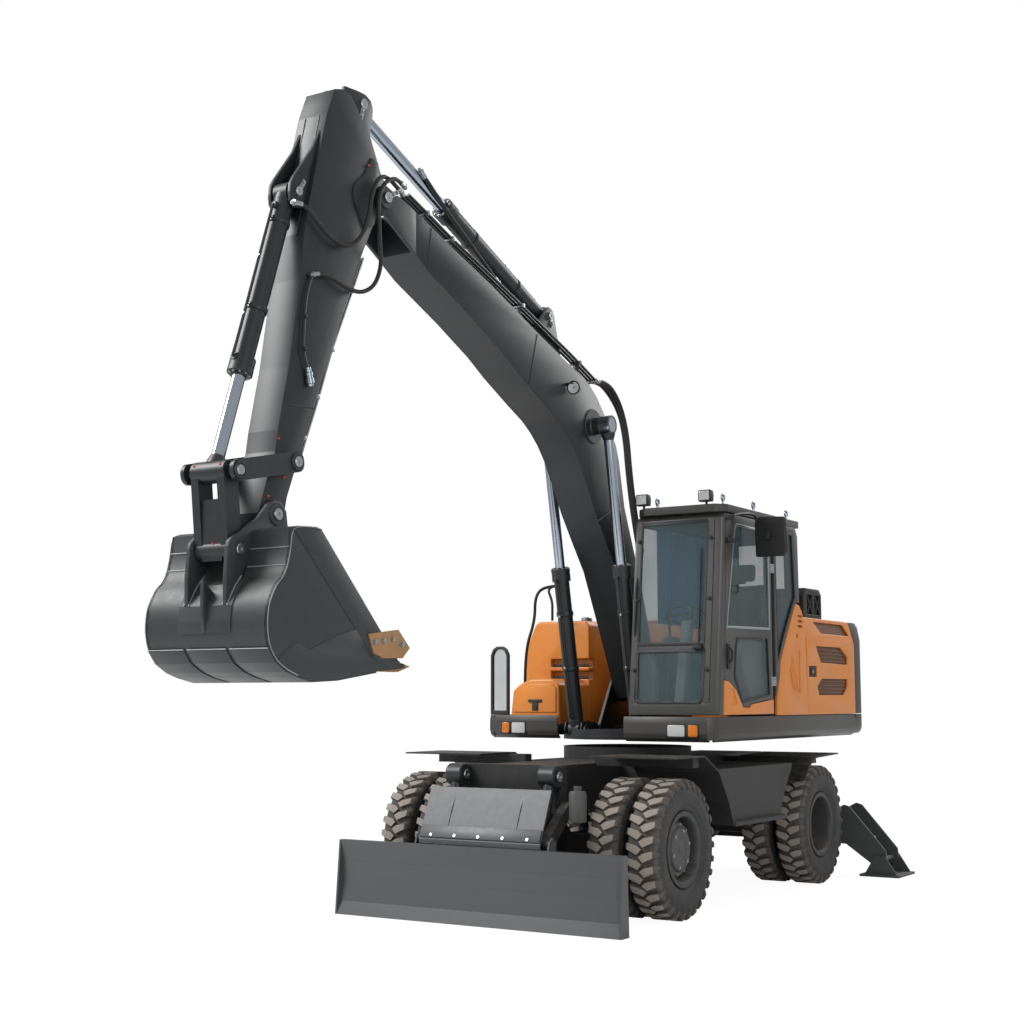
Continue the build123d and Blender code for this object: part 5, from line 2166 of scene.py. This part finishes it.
@dataclass
class Body:
    """Revolving frame, skirts, counterweight, hood, doors, tank, toolbox and rails."""

    skirt: tuple[Flat, ...] = (
        (1242, 1520), (1250, 1470), (1250, 1385), (1238, 1345), (1200, 1317), (1188, 1327),
        (1222, 1352), (1234, 1390), (1234, 1520))
    foot: Flat = (-180, 1760)
    brackets: tuple[Flat, ...] = ((214, 228), (372, 386))
    tread_heights: tuple[float, ...] = (1852, 1962)
    vents: tuple[tuple[Flat, ...], ...] = (
        ((-1418, 2372), (-2183, 2370), (-2284, 2266), (-1541, 2268)),
        ((-1352, 2146), (-1977, 2148), (-2172, 2062), (-2166, 1987), (-1472, 1999), (-1380, 2108)),
        ((-1484, 1849), (-2166, 1851), (-2160, 1782), (-2051, 1699), (-1409, 1698), (-1371, 1777)),
        ((-1170, 1962), (-1364, 1962), (-1364, 1863), (-1170, 1863)))

    def build(self) -> None:
        """Make the body from the frame outwards."""
        self._frame()
        self._weight()
        self._hood()
        self._doors()
        self._side_panel()
        self._tank()
        self._lamps()
        self._rails()

    def _frame(self) -> None:
        """Make the deck, the rolled skirts, the boom's ears and the cylinder brackets."""
        front = [(x - 370, z) for x, z in self.skirt]
        foot_x, foot_z = self.foot
        deck = [plate([(862, 430), (862, 1178), (805, 1234), (HOOD_BACK, 1234), (HOOD_BACK, -1234),
                       (322, -1234), (322, -515), (-68, -515), (-68, 430)], "z", 1400, 1430, 3)]
        skirts = []
        for way, ahead in ((1, 810), (-1, 300)):
            skirts.append(plate([(way * y, z) for y, z in self.skirt], "x", HOOD_BACK, ahead, 3))
        for shift, y0, y1 in ((0, 430, 1180), (-540, -1210, -515)):
            skirts.append(plate([(x + shift, z) for x, z in front], "y", y0, y1, 3))
        for x, y, way in ((880, 1180, 1), (340, -1180, -1)):
            skirts.append(plate([(x, y), (x - 70, y + way * 70), (x - 74, y + way * 54),
                                 (x - 16, y - way * 4)], "z", 1334, 1520, 3))
        ready(joined(skirts), "frame_skirts", "upper", Paint.SKIRT)
        deck.append(turned([(0, 0), (0, 560), (30, 560), (36, 540), (85, 540), (85, 0)], at(0, 0, 1318),
                           UP, 64))
        ear = [(160, 1330), (160, 1440), (-60, 1810), (-120, 1890), (-240, 1890), (-420, 1710), (-880, 1620),
               (-880, 1330)]
        deck += both_sides(ear, 180, 210, 3, 0)
        bracket = [(100, 1330), (330, 1330), (450, 1390), (430, 1460), (340, 1480), (100, 1440)]
        for inner, outer in self.brackets:
            deck += both_sides(bracket, inner, outer, 3, 0)
        deck.append(turned([(-226, 0), (-226, 45), (226, 45), (226, 0)], at(foot_x, 0, foot_z), LEFT, 28))
        ready(joined(deck), "revolving_frame", "upper", Paint.CHARCOAL, 32.0, ["upper_frame"])
        ends = [pin_end(at(foot_x, way * 222, foot_z), LEFT * way, 42) for way in (1, -1)]
        base_x, base_z = PIN.lift_base
        for way in (1, -1):
            for y, side in ((self.brackets[0][0], -1), (self.brackets[1][1], 1)):
                ends.append(pin_end(at(base_x, way * y, base_z), LEFT * way * side, 38, 10))
        spots = [(at(x, way * 211, z), LEFT * way) for way in (1, -1) for x, z in ((-30, 1700), (-330, 1760))]
        ready(joined([*ends, bolts(spots, 26)]), "frame_pin_heads", "upper", Paint.PIN)

    def _weight(self) -> None:
        """Cast the counterweight with its rounded plan and chamfers."""
        arc = [(-2514 - (-2514 - BACK_X) * math.cos(math.radians(a)), 1250 * math.sin(math.radians(a)))
               for a in range(84, -85, -12)]
        weight = plate([(HOOD_BACK - 3, 1250), (-2500, 1250), *arc, (-2500, -1250), (HOOD_BACK - 3, -1250)],
                       "z", 1333, 2405, 0)
        tools = [plate([(-2500, 2440), (-2760, 2200), (-2900, 2200), (-2900, 2440)], "y", -1300, 1300, 0),
                 plate([(BACK_X - 4, 1430), (-2757, 1360), (-2700, 1329), (-2900, 1329), (-2900, 1430)], "y",
                       -1300, 1300, 0)]
        for way in (1, -1):
            tools.append(plate([(way * 1252, 2200), (way * 1190, 2410), (way * 1300, 2410),
                                (way * 1300, 2200)], "x", -2900, -2300, 0))
            tools.append(plate([(way * 1252, 1420), (way * 1225, 1360), (way * 1180, 1329),
                                (way * 1300, 1329), (way * 1300, 1420)], "x", -2900, -2300, 0))
        soften(cut(weight, *tools), 14, 3)
        low = weight.copy()
        low.data = weight.data.copy()
        bpy.context.scene.collection.objects.link(low)
        cut(weight, slab((-2950, -1350, 1300), (-2200, 1350, 1524), 0))
        cut(low, slab((-2950, -1350, 1518), (-2200, 1350, 2500), 0))
        ready(weight, "counterweight_cover", "upper", Paint.SKIRT, 35.0, ["counterweight"])
        ready(low, "counterweight_casting", "upper", Paint.SKIRT)
        plugs = [turned([(-20, 0), (-20, 52), (4, 52), (8, 46), (8, 0)], at(BACK_X + 58, y, 1800),
                        Vector((-1, 0, 0)), 28) for y in (-480, 480)]
        ready(joined(plugs), "counterweight_plugs", "upper", Paint.BLACK)

    def _hood(self) -> None:
        """Press the hood with its ribs and the intake box with its brace."""
        hood = plate([(-1190, 2405), (-1150, 2412), (1150, 2412), (1190, 2405), (1180, 2380), (-1180, 2380)],
                     "x", HOOD_BACK, HOOD_FRONT, 5, 3)
        ribs = [slab((HOOD_BACK + 90, y - 26, 2408), (HOOD_FRONT - 90, y + 26, 2422), 5)
                for y in (-900, -600, -300, 0, 300, 600)]
        wall = slab((HOOD_FRONT - 24, -1180, 1440), (HOOD_FRONT, 1225, 2384), 4)
        ready(joined([hood, *ribs, wall]), "hood_panel", "upper", Paint.ORANGE, 35.0,
              ["engine_hood"])
        box = plate([(-1340, 2405), (-1345, 2620), (-1400, 2690), (-1740, 2690), (-1800, 2640),
                     (-1800, 2405)], "y", 760, 1140, 0)
        cut(box, *[plate([(x, 2450), (x, 2630), (x + 150, 2630), (x + 150, 2450)], "y", 1100, 1160, 0)
                   for x in (-1770, -1580)])
        soften(box, 14, 3)
        brace = [tube([at(a, 1134, za), at(b, 1134, zb)], 9) for a, za, b, zb in
                 ((-1760, 2455, -1630, 2625), (-1630, 2455, -1760, 2625), (-1570, 2455, -1440, 2625),
                  (-1440, 2455, -1570, 2625))]
        ready(joined([box, *brace]), "intake_box", "upper", Paint.BLACK)

    def _doors(self) -> None:
        """Cut the engine doors, louvres, mesh sheet and latches; the louvres and sheet are painted shade."""
        doors, dark = [], []
        for way in (1, -1):
            door = plate([(way * 1250, 1523), (way * 1250, 2190), (way * 1244, 2215), (way * 1190, 2405),
                          (way * 1170, 2405), (way * 1228, 2200), (way * 1228, 1523)], "x", HOOD_BACK,
                         HOOD_FRONT, 0)
            y0, y1 = sorted((way * 1100, way * 1300))
            cut(door, *[plate(vent, "y", y0, y1, 0) for vent in self.vents])
            doors.append(soften(door, 5, 3))
            # Sheet behind the vents, in darkened orange: painted shade for the bay inside.
            dark.append(plate([(way * 1226, 1540), (way * 1226, 2200), (way * 1170, 2396), (way * 1160, 2396),
                               (way * 1214, 2200), (way * 1214, 1540)], "x", HOOD_BACK + 30, HOOD_FRONT - 20,
                              0))
        # Louvre slats, in the same darkened orange: painted shade across the vents.
        for z in (z0 + step * 34 for z0 in (2004, 1716) for step in range(4)):
            dark += both_sides([(-2130, z), (-1400, z), (-1400, z + 12), (-2130, z + 12)], 1222, 1240, 3, 0)
        black = both_sides([(-1364, 1863), (-1170, 1863), (-1170, 1962), (-1364, 1962)], 1222, 1240, 6, 0)
        black += both_sides([(-1310, 1880), (-1224, 1880), (-1224, 1945), (-1310, 1945)], 1236, 1249, 8, 0)
        steel = [turned([(0, 0), (0, 15), (4, 15), (6, 11), (6, 0)], at(-1267, way * 1246, 1912),
                        LEFT * way, 20) for way in (1, -1)]
        ready(joined(doors), "engine_doors", "upper", Paint.ORANGE, 35.0, ["side_doors"])
        ready(joined(dark), "engine_door_louvres", "upper", Paint.LOUVRE_SHADE)
        ready(joined(black), "engine_door_latches", "upper", Paint.BLACK)
        ready(joined(steel), "engine_door_locks", "upper", Paint.PIN)

    def _side_panel(self) -> None:
        """Press the curved panel between the cab and the engine door."""
        outer = [(-402, 1524), (-409, 1667), (-477, 1846), (-504, 1996), (-632, 2179), (-763, 2367),
                 (-872, 2510), (-953, 2499), (-1020, 2440), (-1085, 2287), (-1118, 1524)]
        panel = plate(outer, "y", 1229, 1252, 0)
        slots = [plate([(-915, z), (-905, z + 22), (-1010, z + 22), (-1030, z)], "y", 1200, 1270, 0)
                 for z in (2300, 2345, 2390)]
        hole = turned([(-60, 0), (-60, 22), (60, 22), (60, 0)], at(-888, 1250, 2221), LEFT, 24)
        recess = plate([(-746, 2084), (-950, 2104), (-947, 1721), (-664, 1697)], "y", 1244, 1270, 0)
        soften(cut(panel, *slots, hole, recess), 5, 3)
        inner = plate([(-560, 1524), (-600, 1905), (-700, 2064), (-820, 2246), (-930, 2404), (-1000, 2440),
                       (-1085, 2287), (-1118, 1524)], "y", CAB_RIGHT, 1226, 8)
        ribs = [plate([(x, 1745), (x + 24, 1745), (x + 144, 2050), (x + 120, 2050)], "y", 1240, 1251, 4)
                for x in (-930, -895, -860, -825)]
        ready(joined([panel, inner, *ribs]), "side_panel_pressing", "upper", Paint.ORANGE)

    def _tank(self) -> None:
        """Make the tank with its steps, the rounded toolbox and their fittings."""
        section = [(-520, 1434), (-520, 2340), (-560, 2381), (-1060, 2381), (-1100, 2350), (-1205, 2124),
                   (-1205, 1900), (-1230, 1855), (-1230, 1434)]
        tank = plate(section, "x", HOOD_FRONT + 12, -250, 0)
        cut(tank, plate([(-249, 1960), (-240, 2030), (-330, 2030), (-330, 1960)], "y", -930, -500, 0),
            plate([(-249, 1850), (-240, 1920), (-330, 1920), (-330, 1850)], "y", -930, -500, 0))
        ready(soften(tank, 16, 4), "tank_shell", "upper", Paint.ORANGE, 35.0, ["right_tank"])
        box = plate([(-520, 1434), (-520, 1791), (-594, 1844), (-820, 1841), (-935, 1794), (-1004, 1736),
                     (-1033, 1486), (-1033, 1434)], "x", -245, 300, 22, 5)
        lid = plate([(-548, 1545), (-548, 1760), (-600, 1800), (-816, 1798), (-912, 1756), (-968, 1700),
                     (-990, 1545)], "x", 296, 312, 7, 3)
        ready(joined([box, lid]), "toolbox_shell", "upper", Paint.ORANGE, 35.0, ["toolbox"])
        latch = [slab((308, -790, 1560), (322, -730, 1640), 4), slab((308, -830, 1632), (324, -690, 1660), 5)]
        treads = [slab((-320, -920, z), (-246, -530, z + 8), 2) for z in self.tread_heights]
        teeth = [slab((-262, -914 + 26 * i, z + 6), (-248, -902 + 26 * i, z + 22), 1) for i in range(15)
                 for z in self.tread_heights]
        ready(joined([*latch, *treads, *teeth]), "toolbox_latch_and_treads", "upper", Paint.BLACK)
        cap = turned([(0, 0), (0, 52), (10, 54), (34, 50), (42, 40), (42, 0)], at(-420, -640, 2378),
                     UP, 32)
        ready(cap, "fuel_cap", "upper", Paint.PIN)

    def _lamps(self) -> None:
        """Set the four front lamps in their bays."""
        clear, amber, dark = [], [], []
        for x, low, high, where in ((872, 835, 987, clear), (872, 1019, 1101, amber),
                                    (332, -987, -850, clear), (332, -1090, -1015, amber)):
            where.append(plate([(low + 8, 1362), (high - 8, 1362), (high, 1372), (high, 1444),
                                (high - 8, 1454), (low + 8, 1454), (low, 1444), (low, 1372)], "x", x + 6,
                               x + 18, 4, 3))
            dark.append(plate([(low - 12, 1350), (high + 12, 1350), (high + 12, 1466), (low - 12, 1466)], "x",
                              x - 4, x + 12, 4, 2))
        ready(joined(dark), "front_lamp_bays", "upper", Paint.BLACK)
        ready(joined(clear), "front_lamp_lenses", "upper", Paint.LENS)
        ready(joined(amber), "front_indicator_lenses", "upper", Paint.AMBER)

    def _rails(self) -> None:
        """Bend the handrail with its stem, and the U-frame with its glass."""
        rail = tube([at(-120, -760, 2700), at(-60, -880, 2700), at(0, -950, 2610), at(0, -952, 2373),
                     at(0, -1058, 2115), at(0, -1060, 1500), at(0, -1060, 1432)], 14)
        outer = [(-1230, 1522), (-1038, 1522), (-1038, 2060), (-1062, 2112), (-1100, 2137), (-1168, 2137),
                 (-1206, 2112), (-1230, 2060)]
        inner = [(-1206, 1560), (-1062, 1560), (-1062, 2050), (-1082, 2092), (-1108, 2110), (-1160, 2110),
                 (-1186, 2092), (-1206, 2050)]
        frame_piece = ledge(outer, "x", 290, 322, (inner,), 5)
        stem = tube([at(-60, -800, 2378), at(-60, -800, 2560), at(-60, -860, 2690), at(-110, -790, 2700)], 12)
        ready(joined([rail, frame_piece, stem]), "handrails", "upper", Paint.BLACK, 35.0,
              ["rails_and_mirrors"])
        ready(sheet(grown(inner, 4), "x", 300, 306), "side_guard_glass", "upper", Paint.GLASS)


@dataclass
class Running:
    """What is bolted to the chassis, the blade and the guard."""

    blade_sides: tuple[float, ...] = (420, -420)
    blade_upper: Flat = (2040, 1080)
    blade_lower: Flat = (2285, 240)
    pivot: Point = (600, 400, 42)
    foot: Point = (1500, 155, 34)
    frames: tuple[Flat, ...] = ((-2612, -1), (-2228, 1))

    def build(self) -> None:
        """Make the fine parts of the running gear."""
        slope = Vector((381, 0, 179)).normalized()
        spots = [(at(2384, y, 634), slope) for y in (-430, -215, 0, 215, 430)]
        ready(bolts(spots, 30), "guard_bolts", "blade", Paint.PIN)
        strip = plate([(2352, 706), (2394, 618), (2400, 621), (2358, 709)], "y", -535, 535, 1)
        ready(strip, "guard_strip", "blade", Paint.BLADE)
        ends, caps, lugs = [], [], []
        (ux, uz), (lx, lz) = self.blade_upper, self.blade_lower
        for side in self.blade_sides:
            for way in (1, -1):
                ends.append(pin_end(at(ux, side + way * 78, uz), LEFT * way, 40, 12))
                ends.append(pin_end(at(lx, side + way * 70, lz), LEFT * way, 34, 12))
            caps.append(dot(at(2100, side, 1110), Vector((1, 0, 0.3)), 9))
            lugs.append(turned([(-70, 46), (-70, 78), (-62, 84), (62, 84), (70, 78), (70, 46)],
                               at(ux, side, uz), LEFT, 36))
        ready(joined(ends), "blade_pin_heads", "undercarriage", Paint.PIN)
        ready(joined(caps), "blade_grease_caps", "undercarriage", Paint.CAP)
        ready(joined(lugs), "blade_cylinder_sleeves", "undercarriage", Paint.CHARCOAL)
        foot = at(2150, 722, 760)
        canister = [turned([(0, 0), (0, 60), (14, 66), (210, 66), (226, 58), (232, 0)], foot, UP, 32),
                    turned([(226, 0), (226, 30), (262, 30), (262, 0)], foot, UP, 24)]
        ready(joined(canister), "accumulator", "undercarriage", Paint.HUB)
        pivots = [*self._heads(self.pivot, 1), *self._heads(self.pivot, -1)]
        ready(joined(pivots), "outrigger_pivot_heads", "undercarriage", Paint.PIN)
        for side, name in ((1, "left"), (-1, "right")):
            ready(joined(self._heads(self.foot, side)), f"outrigger_foot_heads_{name}",
                  f"outrigger_leg_{name}", Paint.PIN)

    def _heads(self, pin: Point, side: int) -> list[bpy.types.Object]:
        """Set the heads on both ends of one outrigger pin.

        Args:
            pin: its (y, z) and its radius.
            side: 1 for the left, -1 for the right.

        Returns:
            The heads.
        """
        y, z, radius = pin
        return [pin_end(at(x, side * y, z), Vector((out, 0, 0)), radius, 12) for x, out in self.frames]


# ------------------------------------------------------------------ the whole machine
@dataclass
class Machine:
    """The whole machine: which finish each CAD node has."""

    plan: dict[Paint, tuple[str, ...]] = field(default_factory=lambda: {
        Paint.GLASS: ("cab_glass", "cab_door_glass"),
        Paint.ORANGE: ("side_doors", "right_tank", "toolbox"),
        Paint.CLOTH: ("seat",),
        Paint.PLASTIC: ("controls",),
        Paint.IRON: ("engine_block",),
        Paint.BUCKET: ("bucket",),
        Paint.SKIRT: ("upper_frame", "counterweight"),
        Paint.CHASSIS: ("chassis_frame", "front_axle", "rear_axle", "drive_train", "fenders", "side_steps",
                        "outrigger_beam", "blade_upper_links", "blade_lower_links"),
        Paint.BLADE: ("blade", "blade_guard"),
        Paint.LEG: ("outrigger_leg_left", "outrigger_leg_right", "outrigger_pad_left", "outrigger_pad_right"),
    })

    def dress(self) -> None:
        """Coat every CAD node."""
        names = set(frame["nodes"])
        rods = [n for n in names if n.endswith(("_rod", "_rods")) or "rod_" in n]
        coat(rods, Paint.CHROME)
        names -= set(rods)
        for paint, some in self.plan.items():
            coat([n for n in some if n in names], paint)
            names -= set(some)
        coat(sorted(names), Paint.CHARCOAL)


# ------------------------------------------------------------------ studio
@dataclass
class Studio:
    """Pale floor, soft lights and the camera, all placed from the machine's wheels."""

    lens_mm: float = 54.82
    camera: Point = (12.314, 6.526, 1.668)
    yaw: float = 212.109
    pitch: float = 6.817

    def build(self) -> None:
        """Make the floor, the world, the lights and the camera."""
        self._floor()
        self._world()
        self._lamp("key", (9.0, -7.5, 10.5), 5.5, 1500.0)
        self._lamp("fill", (10.0, 11.0, 5.0), 6.0, 380.0)
        self._lamp("rim", (-10.0, 2.0, 9.0), 6.0, 500.0)
        self._camera()

    def _floor(self) -> None:
        """Lay a pale floor that keeps the shadow and shows white to the eye."""
        bpy.ops.object.select_all(action="DESELECT")
        bpy.ops.mesh.primitive_plane_add(size=400.0, location=(0.0, 0.0, -0.0005))
        floor = bpy.context.object
        floor.name = "studio_floor"
        material = bpy.data.materials.new("pale_studio_floor")
        material.use_nodes = True
        tree = material.node_tree
        tree.nodes.clear()
        seen = self._seen(tree)
        plain = add_node(tree, "ShaderNodeBsdfDiffuse", {"Color": linear("#f2f2f2")})
        glow = add_node(tree, "ShaderNodeEmission", {"Color": (1, 1, 1, 1), "Strength": 1.1})
        share = add_node(tree, "ShaderNodeMath", {"operation": "MULTIPLY", 1: 0.86}, {0: seen})
        mixed = add_node(tree, "ShaderNodeMixShader", None,
                         {0: share.outputs[0], 1: plain.outputs[0], 2: glow.outputs[0]})
        add_node(tree, "ShaderNodeOutputMaterial", None, {"Surface": mixed.outputs[0]})
        floor.data.materials.append(material)

    @staticmethod
    def _seen(tree: bpy.types.NodeTree) -> bpy.types.NodeSocket:
        """Give 1 for camera and transmission rays.

        Args:
            tree: node tree that takes the nodes.

        Returns:
            The socket that holds the value.
        """
        path = add_node(tree, "ShaderNodeLightPath")
        both = add_node(tree, "ShaderNodeMath", {"operation": "MAXIMUM"},
                        {0: path.outputs["Is Camera Ray"], 1: path.outputs["Is Transmission Ray"]})
        return both.outputs[0]

    def _world(self) -> None:
        """Light softly from all round, and show plain white to the eye."""
        world = bpy.data.worlds.new("soft_studio")
        bpy.context.scene.world = world
        world.use_nodes = True
        tree = world.node_tree
        tree.nodes.clear()
        soft = add_node(tree, "ShaderNodeBackground", {"Color": (1, 1, 1, 1), "Strength": 0.55})
        white = add_node(tree, "ShaderNodeBackground", {"Color": (1, 1, 1, 1), "Strength": 1.0})
        mixed = add_node(tree, "ShaderNodeMixShader", None,
                         {0: self._seen(tree), 1: soft.outputs[0], 2: white.outputs[0]})
        add_node(tree, "ShaderNodeOutputWorld", None, {"Surface": mixed.outputs[0]})

    def _lamp(self, name: str, place: Point, size: float, power: float) -> None:
        """Add one large soft lamp that looks at the machine.

        Args:
            name: the lamp's name.
            place: where it stands, from the middle of the wheelbase.
            size: edge of its square face.
            power: its power in watts.
        """
        lamp = bpy.data.objects.new(name, bpy.data.lights.new(name, "AREA"))
        lamp.data.size = size
        lamp.data.energy = power
        lamp.location = (place[0] + MID, place[1], place[2])
        aim = Vector((1.0 + MID, 0.0, 2.0)) - lamp.location
        lamp.rotation_euler = aim.to_track_quat("-Z", "Y").to_euler()
        bpy.context.scene.collection.objects.link(lamp)

    def _camera(self) -> None:
        """Stand the camera at the front left, low, looking a little up."""
        scene = bpy.context.scene
        data = bpy.data.cameras.new("camera")
        data.lens = self.lens_mm
        data.sensor_width = 36.0
        data.clip_end = 1000.0
        camera = bpy.data.objects.new("camera", data)
        yaw, pitch = math.radians(self.yaw), math.radians(self.pitch)
        ahead = Vector((math.cos(pitch) * math.cos(yaw), math.cos(pitch) * math.sin(yaw), math.sin(pitch)))
        camera.location = (self.camera[0] + MID, self.camera[1], self.camera[2])
        camera.rotation_euler = ahead.to_track_quat("-Z", "Y").to_euler()
        scene.collection.objects.link(camera)
        scene.camera = camera
        scene.view_settings.view_transform = "Standard"


def main() -> None:
    """Build every sub-assembly, then the studio."""
    Machine().dress()
    LOG.info("machine dressed")
    gear = (*rams(), Boom(), Arm(), Linkage(), Bucket(), Hoses())
    for assembly in (Tyres(), Rims(), *gear, Cab(), Door(), Body(), Running()):
        assembly.build()
    Studio().build()
    LOG.info("studio ready")


if __name__ == "__main__":
    main()
